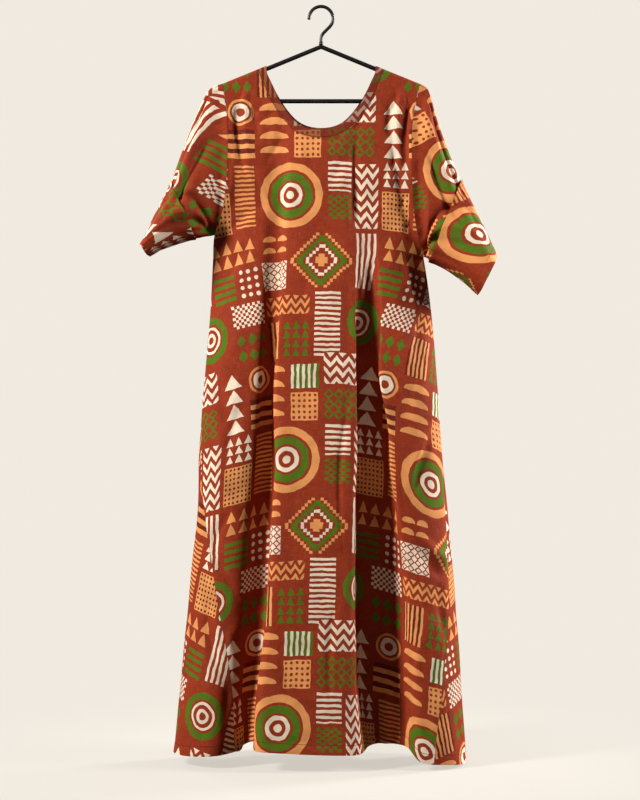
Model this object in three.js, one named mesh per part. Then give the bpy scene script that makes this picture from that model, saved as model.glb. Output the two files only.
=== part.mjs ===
// A printed abaya, a long loose robe with a scooped neck and wide half sleeves, hanging on a bent-rod
// hanger. Millimetres. X runs to the viewer's right, Y away from the viewer and Z up, with the origin at
// the inside top of the hanger's hook. "Drop" is the distance below that origin.
import * as THREE from "three";

const CLOTH = 1.6; // thickness of every cloth wall
const SEAM_GAP = 0.3; // parting between pieces that are sewn together
const ROD_CLEARANCE = 0.65; // between the rod and the cloth that passes over it
const RADIANS = Math.PI / 180;

// The hanger: one rod bent to a low triangle, with a thinner hook
const ROD_RADIUS = 4.25;
const ROD_SIDES = 12;
const HOOK_RADIUS = 3.25;
const HOOK_BEND = 23.5;
const HOOK_TAIL_ANGLE = -42 * RADIANS;
const HOOK_STEM_TOP = 62;
const APEX_DROP = 75.6;
const APEX_BEND = 7;
const ARM_SLOPE = 22.3 * RADIANS;
const BAR_DROP = 182.5;
const ARM_REACH = 186; // where an arm's straight stretch ends, from the middle

// The cloth passes over the rod as a half round at this radius, measured to the middle of its wall
const OVER_ROD = ROD_RADIUS + ROD_CLEARANCE + CLOTH / 2;
const OVER_ROD_TALL = OVER_ROD / Math.cos(ARM_SLOPE);
const OPENING_LENGTH = 150; // drop over which front and back part below the shoulder
const SHOULDER_PARTING = 2.4 * RADIANS; // half the seam's gap on top of the rod, as an angle

// The scooped neck, about half an ellipse below the neck points, edged all round by a band. The neckline
// runs inside the ellipse by the share "taper", in full once the angle's sine has passed "taperStart".
const NECK = {
  halfWidth: 107,
  drop: 115,
  frontDepth: 127,
  backDepth: 117,
  taper: 0.12,
  taperStart: 0.25,
  band: 16,
  bandSeam: 1.1,
};
const ARMHOLE_DEPTH = 22; // half the armhole's width from front to back
const UNDERARM_PARTING = 1.05;
const UNDERARM_RISE = 2.5; // the sleeve's lowest seam point stops this far above the body's corner
const ARMHOLE_GAP = 0.9;
const SIDE_ROUNDING_LENGTH = 340; // the side turns from a crease to a round edge over this drop
const SIDE_ROUNDING_LEAD = 170; // and starts this far higher in the panel's middle than at its edge

// Half widths of the body at armhole and side, seen from the front
const OUTLINE_RIGHT = [
  { drop: 100, x: 191 },
  { drop: 155, x: 191 },
  { drop: 228, x: 178 },
  { drop: 337, x: 177.4 },
  { drop: 402, x: 181.3 },
  { drop: 490, x: 201 },
  { drop: 595, x: 216 },
  { drop: 717, x: 226.6 },
  { drop: 850, x: 235.4 },
  { drop: 1001, x: 247.7 },
  { drop: 1128, x: 260 },
  { drop: 1273, x: 270.5 },
  { drop: 1480, x: 286 },
];
const OUTLINE_LEFT = [
  { drop: 100, x: 191 },
  { drop: 155, x: 191 },
  { drop: 228, x: 182 },
  { drop: 337, x: 184 },
  { drop: 402, x: 193 },
  { drop: 447, x: 209 },
  { drop: 595, x: 217 },
  { drop: 717, x: 227 },
  { drop: 850, x: 236 },
  { drop: 1037, x: 246 },
  { drop: 1146, x: 257 },
  { drop: 1310, x: 273 },
  { drop: 1480, x: 290 },
];
const UNDERARM = { left: 447, right: 490 };

// How far each side seam has swung from the side's edge onto the front
const SEAM_SWING = [
  { drop: 800, left: 0, right: 0 },
  { drop: 905, left: 5, right: 1 },
  { drop: 990, left: 17, right: 4 },
  { drop: 1080, left: 37, right: 9 },
  { drop: 1182, left: 61, right: 17 },
  { drop: 1265, left: 84, right: 30 },
  { drop: 1349, left: 106, right: 45 },
  { drop: 1480, left: 128, right: 68 },
];

// Folds of the front. At each edge the cloth comes forward by its "rise" from the valleys' floor:
// D faces the left valley from the left, A and B are the middle fold's edges, C faces the right valley.
const FRONT_FLOOR = [
  { drop: 115, depth: 5.4 },
  { drop: 180, depth: 8 },
  { drop: 247, depth: 16 },
  { drop: 376, depth: 22 },
  { drop: 631, depth: 25 },
  { drop: 906, depth: 27 },
  { drop: 1480, depth: 24 },
];
const FRONT_EDGES = [
  { drop: 115, D: -123, A: -60, B: 75, C: 123 },
  { drop: 247, D: -110, A: -63.7, B: 74, C: 112 },
  { drop: 455, D: -104, A: -70, B: 70.5, C: 113 },
  { drop: 631, D: -112, A: -75.5, B: 65, C: 117 },
  { drop: 720, D: -116, A: -78, B: 64, C: 114 },
  { drop: 820, D: -120, A: -79, B: 64, C: 129 },
  { drop: 906, D: -124, A: -80, B: 64, C: 134 },
  { drop: 1040, D: -139, A: -90, B: 64.5, C: 151 },
  { drop: 1160, D: -144, A: -96, B: 65, C: 160 },
  { drop: 1264, D: -152, A: -107, B: 67, C: 165 },
  { drop: 1360, D: -166, A: -121, B: 71.5, C: 167 },
  { drop: 1480, D: -184, A: -131, B: 83, C: 170 },
];
const FRONT_RISES = [
  { drop: 115, D: 0, A: 0, B: 0, C: 0 },
  { drop: 200, D: 2, A: 3, B: 0, C: 0 },
  { drop: 247, D: 8, A: 10, B: 0, C: 0 },
  { drop: 330, D: 11, A: 15, B: 7, C: 8 },
  { drop: 455, D: 16, A: 22, B: 18, C: 18 },
  { drop: 631, D: 32, A: 42, B: 38, C: 34 },
  { drop: 906, D: 46, A: 60, B: 58, C: 50 },
  { drop: 1160, D: 58, A: 74, B: 73, C: 66 },
  { drop: 1480, D: 70, A: 88, B: 86, C: 88 },
];
const FRONT_SOFTNESS = [
  { drop: 115, D: 12, A: 9, B: 12, C: 9 },
  { drop: 455, D: 10, A: 8, B: 12, C: 7 },
  { drop: 631, D: 10, A: 7, B: 8, C: 7 },
  { drop: 906, D: 12, A: 6, B: 7, C: 8 },
  { drop: 1040, D: 16, A: 5.5, B: 7, C: 10 },
  { drop: 1160, D: 18, A: 5.5, B: 8, C: 13 },
  { drop: 1300, D: 18, A: 5.5, B: 8, C: 13 },
  { drop: 1480, D: 13, A: 6, B: 9, C: 19 },
];
// Folds of the back: a broad middle fold between two shallower valleys
const BACK_FLOOR = [
  { drop: 115, depth: 5.4 },
  { drop: 180, depth: 8 },
  { drop: 247, depth: 15 },
  { drop: 376, depth: 20 },
  { drop: 631, depth: 26 },
  { drop: 906, depth: 32 },
  { drop: 1480, depth: 42 },
];
const BACK_EDGES = [
  { drop: 115, D: -123, A: -64, B: 58, C: 123 },
  { drop: 247, D: -112, A: -62, B: 56, C: 112 },
  { drop: 631, D: -118, A: -66, B: 62, C: 112 },
  { drop: 1040, D: -150, A: -84, B: 92, C: 150 },
  { drop: 1480, D: -178, A: -108, B: 118, C: 182 },
];
const BACK_RISES = [
  { drop: 115, D: 0, A: 0, B: 0, C: 0 },
  { drop: 247, D: 3, A: 6, B: 6, C: 3 },
  { drop: 631, D: 22, A: 28, B: 28, C: 22 },
  { drop: 1040, D: 40, A: 46, B: 46, C: 38 },
  { drop: 1480, D: 52, A: 56, B: 54, C: 50 },
];
const BACK_SOFTNESS = [
  { drop: 115, D: 12, A: 12, B: 12, C: 12 },
  { drop: 1480, D: 13, A: 11, B: 11, C: 13 },
];
const STEP_NAMES = ["D", "A", "B", "C"];
// How far a fold's edge leans over its valley, as a share of its rise
const OVERHANG = [
  { drop: 115, share: 0.3 },
  { drop: 720, share: 0.3 },
  { drop: 1000, share: 0.14 },
  { drop: 1480, share: 0.05 },
];

// Drop of the hem across each panel: 0 is its left edge, 1 to 4 are D, A, B and C, and 5 is its right edge
const FRONT_HEM = [
  { at: 0, drop: 1450 },
  { at: 0.5, drop: 1449 },
  { at: 0.8, drop: 1445 },
  { at: 1, drop: 1438 },
  { at: 1.4, drop: 1430 },
  { at: 1.7, drop: 1429 },
  { at: 2, drop: 1436 },
  { at: 3, drop: 1445 },
  { at: 3.5, drop: 1434 },
  { at: 4, drop: 1440 },
  { at: 4.5, drop: 1461 },
  { at: 5, drop: 1466 },
];
const BACK_HEM = [
  { at: 0, drop: 1450 },
  { at: 0.5, drop: 1456 },
  { at: 1, drop: 1441 },
  { at: 2.5, drop: 1437 },
  { at: 4, drop: 1443 },
  { at: 4.6, drop: 1472 },
  { at: 5, drop: 1466 },
];

// Rows of a panel from its top edge to the underarm, as shares of that drop, and below it to the hem
const UPPER_ROWS = [0, 0.005, 0.017, 0.06, 0.14, 0.25, 0.38, 0.52, 0.66, 0.79, 0.9, 0.97, 1];
const LOWER_ROWS = 12;
const FRONT_COLUMNS = [7, 7, 10, 7, 8]; // between the panel's edge, D, A, B, C and the other edge
const BACK_COLUMNS = [11, 7, 8, 7, 10];
// Where the columns from D to A meet the neck: shares of the way from the neck's corner to fold edge A
const NECK_STEPS = [0, 0.014, 0.05, 0.17, 0.36, 0.57, 0.78];
const NECK_BAND_ROWS = [0, 0.35, 0.7, 1];
const SECTION_STEP = 1.5; // spacing of the points that a cross-section is measured with

// Sleeve and cuff as slanting rings, from armhole (t 0) through the cuff's seam (t 1) to the hem (t 2).
// top and low are a ring's ends seen from the front, and depth is half its width from front to back.
const SLEEVE_RIGHT = [
  { t: 0, topX: 191.9, topDrop: 148.1, lowX: 201.2, lowDrop: 487.5, depth: 22 },
  { t: 0.12, topX: 209.5, topDrop: 161.5, lowX: 203, lowDrop: 488, depth: 24 },
  { t: 0.4, topX: 226.2, topDrop: 218, lowX: 205.5, lowDrop: 489.5, depth: 28 },
  { t: 0.7, topX: 251, topDrop: 286.6, lowX: 209, lowDrop: 492, depth: 31 },
  { t: 1, topX: 274.6, topDrop: 339.7, lowX: 213, lowDrop: 495, depth: 34 },
  { t: 1.35, topX: 298.5, topDrop: 389, lowX: 246, lowDrop: 511, depth: 47 },
  { t: 1.7, topX: 322, topDrop: 440, lowX: 280, lowDrop: 535, depth: 61 },
  { t: 2, topX: 341.8, topDrop: 486.5, lowX: 308.7, lowDrop: 560.8, depth: 74 },
];
const SLEEVE_LEFT = [
  { t: 0, topX: 191.9, topDrop: 148.1, lowX: 208.6, lowDrop: 444.5, depth: 22 },
  { t: 0.12, topX: 218, topDrop: 161, lowX: 213, lowDrop: 446, depth: 27 },
  { t: 0.4, topX: 244, topDrop: 212, lowX: 224, lowDrop: 448, depth: 37 },
  { t: 0.7, topX: 268, topDrop: 272, lowX: 235, lowDrop: 449, depth: 50 },
  { t: 1, topX: 294, topDrop: 342, lowX: 247, lowDrop: 450, depth: 62 },
  { t: 1.35, topX: 311.5, topDrop: 381, lowX: 279, lowDrop: 459, depth: 70 },
  { t: 1.7, topX: 331, topDrop: 426, lowX: 313, lowDrop: 471, depth: 78 },
  { t: 2, topX: 347.5, topDrop: 466, lowX: 341, lowDrop: 482, depth: 84 },
];
const SLEEVE_RINGS = [0, 0.06, 0.12, 0.26, 0.4, 0.55, 0.7, 0.85, 0.985, 1.03];
const CUFF_RINGS = [0.985, 1.03, 1.2, 1.4, 1.6, 1.8, 2];
const CUFF_STANDS_OUT = CLOTH + 0.6; // the cuff lies outside the sleeve's end
const BOW_FADES = 0.4; // the sleeve follows the armhole's bow down to this t
const ROD_REACHES = 0.2; // and passes over the hanger's end above this t

// A smooth curve through one column of a table, as a function of its first key
function through(rows, column, key = "drop") {
  const at = rows.map((row) => row[key]);
  const value = rows.map((row) => row[column]);
  const last = rows.length - 1;
  const slope = value.map((_, i) => {
    const low = Math.max(i - 1, 0);
    const high = Math.min(i + 1, last);
    return (value[high] - value[low]) / (at[high] - at[low]);
  });
  return (position) => {
    if (position <= at[0]) return value[0];
    if (position >= at[last]) return value[last];
    const i = at.findIndex((edge) => edge > position) - 1;
    const width = at[i + 1] - at[i];
    const s = (position - at[i]) / width;
    return (
      value[i] * (1 + 2 * s) * (1 - s) ** 2 +
      slope[i] * width * s * (1 - s) ** 2 +
      value[i + 1] * s * s * (3 - 2 * s) +
      slope[i + 1] * width * s * s * (s - 1)
    );
  };
}

const smooth = (share) => {
  const s = Math.min(Math.max(share, 0), 1);
  return s * s * (3 - 2 * s);
};
const logistic = (s) => 1 / (1 + Math.exp(-s));
const mix = (a, b, share) => a + (b - a) * share;

const outline = { left: through(OUTLINE_LEFT, "x"), right: through(OUTLINE_RIGHT, "x") };
const swing = { left: through(SEAM_SWING, "left"), right: through(SEAM_SWING, "right") };
const overhang = through(OVERHANG, "share");
const shoulderDrop = (x) => APEX_DROP + Math.abs(x) * Math.tan(ARM_SLOPE) - OVER_ROD_TALL;
const shoulderTip = shoulderDrop(OUTLINE_RIGHT[0].x);

function foldTables(floor, edges, rises, softness) {
  return {
    floor: through(floor, "depth"),
    steps: STEP_NAMES.map((name) => ({
      x: through(edges, name),
      rise: through(rises, name),
      softness: through(softness, name),
      // D falls away towards +X, A and C rise towards +X, and B falls
      turn: name === "D" || name === "B" ? -1 : 1,
    })),
  };
}
const FRONT = { ...foldTables(FRONT_FLOOR, FRONT_EDGES, FRONT_RISES, FRONT_SOFTNESS), toward: -1 };
const BACK = { ...foldTables(BACK_FLOOR, BACK_EDGES, BACK_RISES, BACK_SOFTNESS), toward: 1 };

// Half the gap between front and back where a panel ends, at the armhole or the side seam
function edgeDepth(side, drop) {
  if (drop > UNDERARM[side]) {
    const below = smooth((drop - UNDERARM[side]) / SIDE_ROUNDING_LENGTH);
    return mix(UNDERARM_PARTING, SEAM_GAP / 2, below);
  }
  const share = Math.max((drop - shoulderTip) / (UNDERARM[side] - shoulderTip), 0);
  return Math.max(ARMHOLE_DEPTH * 2 * Math.sqrt(share * (1 - share)), UNDERARM_PARTING);
}

// The point of a panel's middle surface at a flat position x and a drop
function panelPoint(folds, x, drop) {
  const side = x < 0 ? "left" : "right";
  const across = Math.min(Math.abs(x) / outline[side](drop), 1);
  const lead = SIDE_ROUNDING_LEAD * (1 - across ** 2);
  const rounding = smooth((drop - UNDERARM[side] + lead) / SIDE_ROUNDING_LENGTH);
  const crown = mix(1 - across ** 2, Math.sqrt(1 - across ** 4), rounding);
  const [D, A, B, C] = folds.steps.map((step) => {
    const rise = step.rise(drop);
    const away = (x - step.x(drop)) / step.softness(drop);
    return { level: rise * logistic(step.turn * away), rise, away };
  });
  // B falls from the middle fold's level, so its share is counted down from A's
  const level = D.level + A.level + (B.level - B.rise) + C.level;
  const lean = [D, A, B, C].reduce(
    (sum, step) => sum - overhang(drop) * step.rise * step.away * Math.exp((-step.away * step.away) / 8),
    0,
  );
  const full = (folds.floor(drop) + level) * crown + edgeDepth(side, drop) * across ** 8;
  const below = drop - shoulderDrop(x);
  const overRod = Math.sqrt(1 - (1 - Math.min(Math.max(below / OVER_ROD_TALL, 0), 1)) ** 2);
  const open = smooth((below - OVER_ROD_TALL) / OPENING_LENGTH);
  const depth = mix(OVER_ROD * overRod, full, open);
  return new THREE.Vector3(x + lean * crown * open, folds.toward * depth, -drop);
}

// A stretch of cross-section from one flat position to another, as points at even spacing
function stretch(folds, fromX, toX, drop) {
  const count = Math.max(Math.ceil(Math.abs(toX - fromX) / SECTION_STEP), 2);
  return Array.from({ length: count + 1 }, (_, i) => {
    // positions crowd towards both ends, where the side turns round sharply
    const share = (1 - Math.cos((Math.PI * i) / count)) / 2;
    return panelPoint(folds, mix(fromX, toX, share), drop);
  });
}

// The point at a share of a polyline's length
function pointAlong(points, share) {
  const lengths = [0];
  points.slice(1).forEach((point, i) => lengths.push(lengths[i] + point.distanceTo(points[i])));
  const wanted = share * lengths[lengths.length - 1];
  let i = 1;
  while (i < points.length - 1 && lengths[i] < wanted) i++;
  const piece = lengths[i] - lengths[i - 1];
  return points[i - 1].clone().lerp(points[i], piece > 0 ? (wanted - lengths[i - 1]) / piece : 0);
}

// How far a side seam lies from the side's edge, or 0 where it is on the edge
const swung = (side, drop) => (swing[side](drop) > 1 ? swing[side](drop) : 0);

// Stretches of the front between its seams and fold edges, at one drop
function frontStretches(drop) {
  const [D, A, B, C] = FRONT.steps.map((step) => step.x(drop));
  const left = -outline.left(drop) + (swung("left", drop) && swung("left", drop) + SEAM_GAP / 2);
  const right = outline.right(drop) - (swung("right", drop) && swung("right", drop) + SEAM_GAP / 2);
  const stops = [left, Math.max(D, mix(left, A, 0.4)), A, B, C, right];
  return stops.slice(1).map((stop, i) => stretch(FRONT, stops[i], stop, drop));
}

// The same for the back, whose outer stretches run round the sides to the swung seams
function backStretches(drop) {
  const left = outline.left(drop);
  const right = outline.right(drop);
  const stops = [-left, ...BACK.steps.map((step) => step.x(drop)), right];
  const stretches = stops.slice(1).map((stop, i) => stretch(BACK, stops[i], stop, drop));
  if (swung("left", drop)) {
    const round = stretch(FRONT, -left + swung("left", drop) - SEAM_GAP / 2, -left, drop);
    stretches[0] = [...round.slice(0, -1), ...stretches[0]];
  }
  if (swung("right", drop)) {
    const round = stretch(FRONT, right, right - swung("right", drop) + SEAM_GAP / 2, drop);
    stretches[4] = [...stretches[4], ...round.slice(1)];
  }
  return stretches;
}

// The value between low and high up to which a test holds
function crossing(holds, low, high) {
  for (let i = 0; i < 40; i++) {
    const middle = (low + high) / 2;
    if (holds(middle)) low = middle;
    else high = middle;
  }
  return (low + high) / 2;
}

// The drop of the shoulder seam at a flat position
const seamDrop = (x) => shoulderDrop(x) + OVER_ROD_TALL * (1 - Math.cos(SHOULDER_PARTING));

// A point on the neck's curve, or on one that lies "out" from it, where angle 0 is its left end
function neckPoint(neckDepth, out, angle) {
  const started = smooth(Math.sin(angle) / NECK.taperStart);
  const taper = 1 - NECK.taper * Math.abs(Math.sin(2 * angle)) * started;
  return {
    x: -(NECK.halfWidth + out) * Math.cos(angle) * taper,
    drop: NECK.drop + (neckDepth + out) * Math.sin(angle),
  };
}

// The angles at which columns D to C meet a curve of the neck
function neckAngles(folds, columns, neckDepth, out) {
  const at = (angle) => neckPoint(neckDepth, out, angle);
  const corner = crossing((angle) => at(angle).drop < seamDrop(at(angle).x), -0.2, 0.5);
  const bottom = NECK.drop + neckDepth;
  const fold = folds.steps.map((step) => crossing((angle) => at(angle).x < step.x(bottom), 0, Math.PI));
  const across = Array.from({ length: columns[2] }, (_, i) => mix(fold[1], fold[2], i / columns[2]));
  const right = NECK_STEPS.map((step) => mix(Math.PI - corner, fold[2], step)).toReversed();
  return [...NECK_STEPS.map((step) => mix(corner, fold[1], step)), ...across, fold[2], ...right];
}

// A panel's middle surface as rows of points, from neck and shoulders to hem
function panelRows(folds, stretchesAt, columns, neckDepth, hem) {
  const shoulderPoint = (x) => ({ x, drop: seamDrop(x) });
  const tip = outline.left(shoulderTip);
  const corner = NECK.halfWidth + NECK.band;
  const outer = (count) => Array.from({ length: count }, (_, i) => mix(tip, corner, i / count));
  const angles = neckAngles(folds, columns, neckDepth, NECK.band);
  const tops = [
    ...outer(columns[0]).map((x) => shoulderPoint(-x)),
    ...angles.map((angle) => neckPoint(neckDepth, NECK.band, angle)),
    ...outer(columns[4]).map(shoulderPoint).toReversed(),
  ];
  const lines = columns.flatMap((count, part) =>
    Array.from({ length: count }, (_, i) => ({ part, share: i / count })),
  );
  lines.push({ part: columns.length - 1, share: 1 });
  const hemDrop = through(hem, "drop", "at");
  const made = lines.map(({ part, share }, column) => {
    const at = (drop) => pointAlong(stretchesAt(drop)[part], share);
    const side = (1 + at(UNDERARM.left).x / outline.left(UNDERARM.left)) / 2;
    const underarm = mix(UNDERARM.left, UNDERARM.right, smooth(side));
    const under = at(underarm).x;
    const upper = UPPER_ROWS.map((row) => {
      const drop = mix(tops[column].drop, underarm, row);
      const straight = mix(tops[column].x, under, row);
      // columns run straight, but for the outermost, which follow the armhole's bow
      const [name, sign] = straight < 0 ? ["left", -1] : ["right", 1];
      const outermost = part === 0 ? 1 - share : part === columns.length - 1 ? share : 0;
      const bow = outline[name](drop) - mix(tip, outline[name](underarm), row);
      return panelPoint(folds, straight + sign * bow * outermost, drop);
    });
    const foot = hemDrop(part + share);
    const lowerDrop = (_, i) => mix(underarm, foot, (i + 1) / LOWER_ROWS);
    const lower = Array.from({ length: LOWER_ROWS }, lowerDrop).map(at);
    return [...upper, ...lower];
  });
  const rows = made[0].map((_, row) => made.map((column) => column[row]));
  return partFromOther(rows, folds.toward);
}

// Half of the neck's band: rows of points from the neckline to the band's seam with the panel
function neckBandRows(folds, columns, neckDepth) {
  const rows = NECK_BAND_ROWS.map((share) => {
    const out = share * (NECK.band - NECK.bandSeam);
    return neckAngles(folds, columns, neckDepth, out).map((angle) => {
      const { x, drop } = neckPoint(neckDepth, out, angle);
      return panelPoint(folds, x, drop);
    });
  });
  return partFromOther(rows, folds.toward);
}

// Moves a grid's outer points so that the wall round them ends half a seam's gap from the plane between
// front and back
function partFromOther(rows, toward) {
  const normals = gridNormals(rows, false);
  rows.forEach((row, i) =>
    row.forEach((p, j) => {
      const need = SEAM_GAP / 2 + (CLOTH / 2) * Math.abs(normals[i][j].y);
      if (Math.abs(p.y) < need) p.y = toward * need;
    }),
  );
  return rows;
}

// Unit normals of a grid of points, from its neighbours. "around" closes each row on itself.
function gridNormals(rows, around) {
  const wide = rows[0].length;
  const pick = (i, j) => {
    const row = rows[Math.min(Math.max(i, 0), rows.length - 1)];
    return around ? row[(j + wide) % wide] : row[Math.min(Math.max(j, 0), wide - 1)];
  };
  return rows.map((row, i) =>
    row.map((_, j) => {
      const along = pick(i, j + 1).clone().sub(pick(i, j - 1));
      const down = pick(i + 1, j).clone().sub(pick(i - 1, j));
      return along.cross(down).normalize();
    }),
  );
}

// A closed wall of the given thickness about a grid of points
function wallGeometry(rows, around, shift = 0, normals = gridNormals(rows, around)) {
  const high = rows.length;
  const wide = rows[0].length;
  const positions = [];
  const faces = [];
  for (const offset of [shift + CLOTH / 2, shift - CLOTH / 2]) {
    const moved = (p, i, j) => p.clone().addScaledVector(normals[i][j], offset);
    rows.forEach((row, i) => row.forEach((p, j) => positions.push(...moved(p, i, j).toArray())));
  }
  const index = (layer, i, j) => (layer * high + i) * wide + (j % wide);
  const quad = (a, b, c, d) => faces.push(a, b, c, a, c, d);
  const lastColumn = around ? wide : wide - 1;
  for (let i = 0; i < high - 1; i++) {
    for (let j = 0; j < lastColumn; j++) {
      quad(index(0, i, j), index(0, i, j + 1), index(0, i + 1, j + 1), index(0, i + 1, j));
      quad(index(1, i, j), index(1, i + 1, j), index(1, i + 1, j + 1), index(1, i, j + 1));
    }
  }
  const foot = high - 1;
  for (let j = 0; j < lastColumn; j++) {
    quad(index(0, 0, j), index(1, 0, j), index(1, 0, j + 1), index(0, 0, j + 1));
    quad(index(0, foot, j), index(0, foot, j + 1), index(1, foot, j + 1), index(1, foot, j));
  }
  if (!around) {
    const end = wide - 1;
    for (let i = 0; i < foot; i++) {
      quad(index(0, i, 0), index(0, i + 1, 0), index(1, i + 1, 0), index(1, i, 0));
      quad(index(0, i, end), index(1, i, end), index(1, i + 1, end), index(0, i + 1, end));
    }
  }
  return closedGeometry(positions, faces);
}

// A geometry whose faces point out, whichever way its grid was wound
function closedGeometry(positions, faces) {
  let volume = 0;
  const corner = (i) => new THREE.Vector3().fromArray(positions, faces[i] * 3);
  for (let i = 0; i < faces.length; i += 3) volume += corner(i).dot(corner(i + 1).cross(corner(i + 2)));
  if (volume < 0) faces.reverse();
  return new THREE.BufferGeometry()
    .setAttribute("position", new THREE.Float32BufferAttribute(positions, 3))
    .setIndex(faces);
}

// The sleeve's middle surface: ring points follow the shares of drop that the panels' upper rows use
function sleeveRows(side, stations, rings) {
  const sign = side === "left" ? -1 : 1;
  const columns = ["topX", "topDrop", "lowX", "lowDrop", "depth"];
  const ring = columns.map((column) => through(stations, column, "t"));
  const shares = UPPER_ROWS.slice(1, -1);
  const around = [
    { share: 0, face: 0 },
    ...shares.map((share) => ({ share, face: -1 })),
    { share: 1, face: 0 },
    ...shares.toReversed().map((share) => ({ share, face: 1 })),
  ];
  return rings.map((t) => {
    const [topX, topDrop, lowX, lowDrop, depth] = ring.map((curve) => curve(t));
    const seamShare = (1 - Math.min(t / BOW_FADES, 1)) ** 2; // how much of the armhole's bow is left
    return around.map(({ share, face }) => {
      const drop = mix(topDrop, lowDrop, share);
      const bow = outline[side](drop) + ARMHOLE_GAP - mix(stations[0].topX, stations[0].lowX, share);
      const x = mix(topX, lowX, share) + bow * seamShare;
      const round = depth * 2 * Math.sqrt(share * (1 - share));
      const beside = panelPoint(FRONT, sign * outline[side](drop), Math.max(drop, shoulderTip));
      const below = Math.min((drop - topDrop) / OVER_ROD_TALL, 1);
      const overRod = t < ROD_REACHES ? OVER_ROD * Math.sqrt(1 - (1 - below) ** 2) : 0;
      const half = Math.max(mix(round, Math.abs(beside.y), seamShare), overRod);
      return new THREE.Vector3(sign * x, face * half, -drop);
    });
  });
}

// A round bar along a path in the XZ plane, closed on itself or with rounded ends
function barGeometry(path, radius, sides, loop) {
  const last = path.length - 1;
  const rings = path.map(({ x, z, size = 1 }, i) => {
    const before = path[loop ? (i + last) % path.length : Math.max(i - 1, 0)];
    const after = path[loop ? (i + 1) % path.length : Math.min(i + 1, last)];
    const along = new THREE.Vector2(after.x - before.x, after.z - before.z).normalize();
    return Array.from({ length: sides }, (_, k) => {
      const turn = (2 * Math.PI * (k + 0.5)) / sides;
      const out = radius * size * Math.cos(turn);
      return new THREE.Vector3(x - along.y * out, radius * size * Math.sin(turn), z + along.x * out);
    });
  });
  const positions = rings.flat().flatMap((p) => p.toArray());
  const faces = [];
  const count = loop ? rings.length : rings.length - 1;
  const index = (i, k) => (i % rings.length) * sides + (k % sides);
  for (let i = 0; i < count; i++) {
    for (let k = 0; k < sides; k++) {
      faces.push(index(i, k), index(i + 1, k), index(i + 1, k + 1));
      faces.push(index(i, k), index(i + 1, k + 1), index(i, k + 1));
    }
  }
  if (!loop) {
    for (let k = 1; k < sides - 1; k++) {
      faces.push(index(0, 0), index(0, k), index(0, k + 1));
      faces.push(index(last, 0), index(last, k + 1), index(last, k));
    }
  }
  return closedGeometry(positions, faces);
}

const arc = (x, z, radius, from, to, steps) =>
  Array.from({ length: steps + 1 }, (_, i) => {
    const angle = mix(from, to, i / steps);
    return { x: x + radius * Math.cos(angle), z: z + radius * Math.sin(angle) };
  });

// The triangle: a small bend at the apex, straight arms, round ends and a level bar
function frameGeometry() {
  const armDrop = APEX_DROP + ARM_REACH * Math.tan(ARM_SLOPE);
  const endBend = (BAR_DROP - armDrop) / (1 + Math.cos(ARM_SLOPE));
  const endX = ARM_REACH - endBend * Math.sin(ARM_SLOPE);
  const quarter = Math.PI / 2;
  const apexCentre = -APEX_DROP - APEX_BEND / Math.cos(ARM_SLOPE);
  const apex = arc(0, apexCentre, APEX_BEND, quarter + ARM_SLOPE, quarter - ARM_SLOPE, 3);
  const right = arc(endX, -BAR_DROP + endBend, endBend, quarter - ARM_SLOPE, -quarter, 8);
  const left = right.map(({ x, z }) => ({ x: -x, z })).toReversed();
  return barGeometry([...apex, ...right, ...left], ROD_RADIUS, ROD_SIDES, true);
}

// The hook: over the rail, back under itself and down to the triangle's apex
function hookGeometry() {
  const bend = arc(0, -(HOOK_BEND - HOOK_RADIUS), HOOK_BEND, Math.PI, HOOK_TAIL_ANGLE, 16);
  const tip = bend[0];
  const rodTop = APEX_BEND + ROD_RADIUS * Math.cos(Math.PI / ROD_SIDES);
  const apexTop = APEX_DROP + APEX_BEND / Math.cos(ARM_SLOPE) - rodTop;
  const stemFoot = apexTop - SEAM_GAP;
  const rounded = [
    { x: tip.x, z: tip.z - HOOK_RADIUS * 0.8, size: 0.45 },
    { x: tip.x, z: tip.z - HOOK_RADIUS * 0.4, size: 0.85 },
  ];
  const tail = bend[bend.length - 1];
  const turn = new THREE.CubicBezierCurve(
    new THREE.Vector2(tail.x, tail.z),
    new THREE.Vector2(tail.x - 12, tail.z - 13),
    new THREE.Vector2(0, -HOOK_STEM_TOP + 11),
    new THREE.Vector2(0, -HOOK_STEM_TOP),
  );
  const stem = turn.getPoints(7).slice(1).map((p) => ({ x: p.x, z: p.y }));
  return barGeometry([...rounded, ...bend, ...stem, { x: 0, z: -stemFoot }], HOOK_RADIUS, 10, false);
}

const cloth = new THREE.MeshStandardMaterial({ color: 0x9c3a1e, roughness: 0.85, metalness: 0 });
const bandCloth = new THREE.MeshStandardMaterial({ color: 0x6e2413, roughness: 0.85, metalness: 0 });
const cuffCloth = new THREE.MeshStandardMaterial({ color: 0xc9814a, roughness: 0.85, metalness: 0 });
const blackMetal = new THREE.MeshStandardMaterial({ color: 0x0e0e0e, roughness: 0.5, metalness: 0.1 });

const abaya = new THREE.Group();
function add(name, geometry, material) {
  const mesh = new THREE.Mesh(geometry, material);
  mesh.name = name;
  abaya.add(mesh);
}

const front = panelRows(FRONT, frontStretches, FRONT_COLUMNS, NECK.frontDepth, FRONT_HEM);
const back = panelRows(BACK, backStretches, BACK_COLUMNS, NECK.backDepth, BACK_HEM);
const frontNormals = gridNormals(front, false);
const backNormals = gridNormals(back, false);
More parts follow.
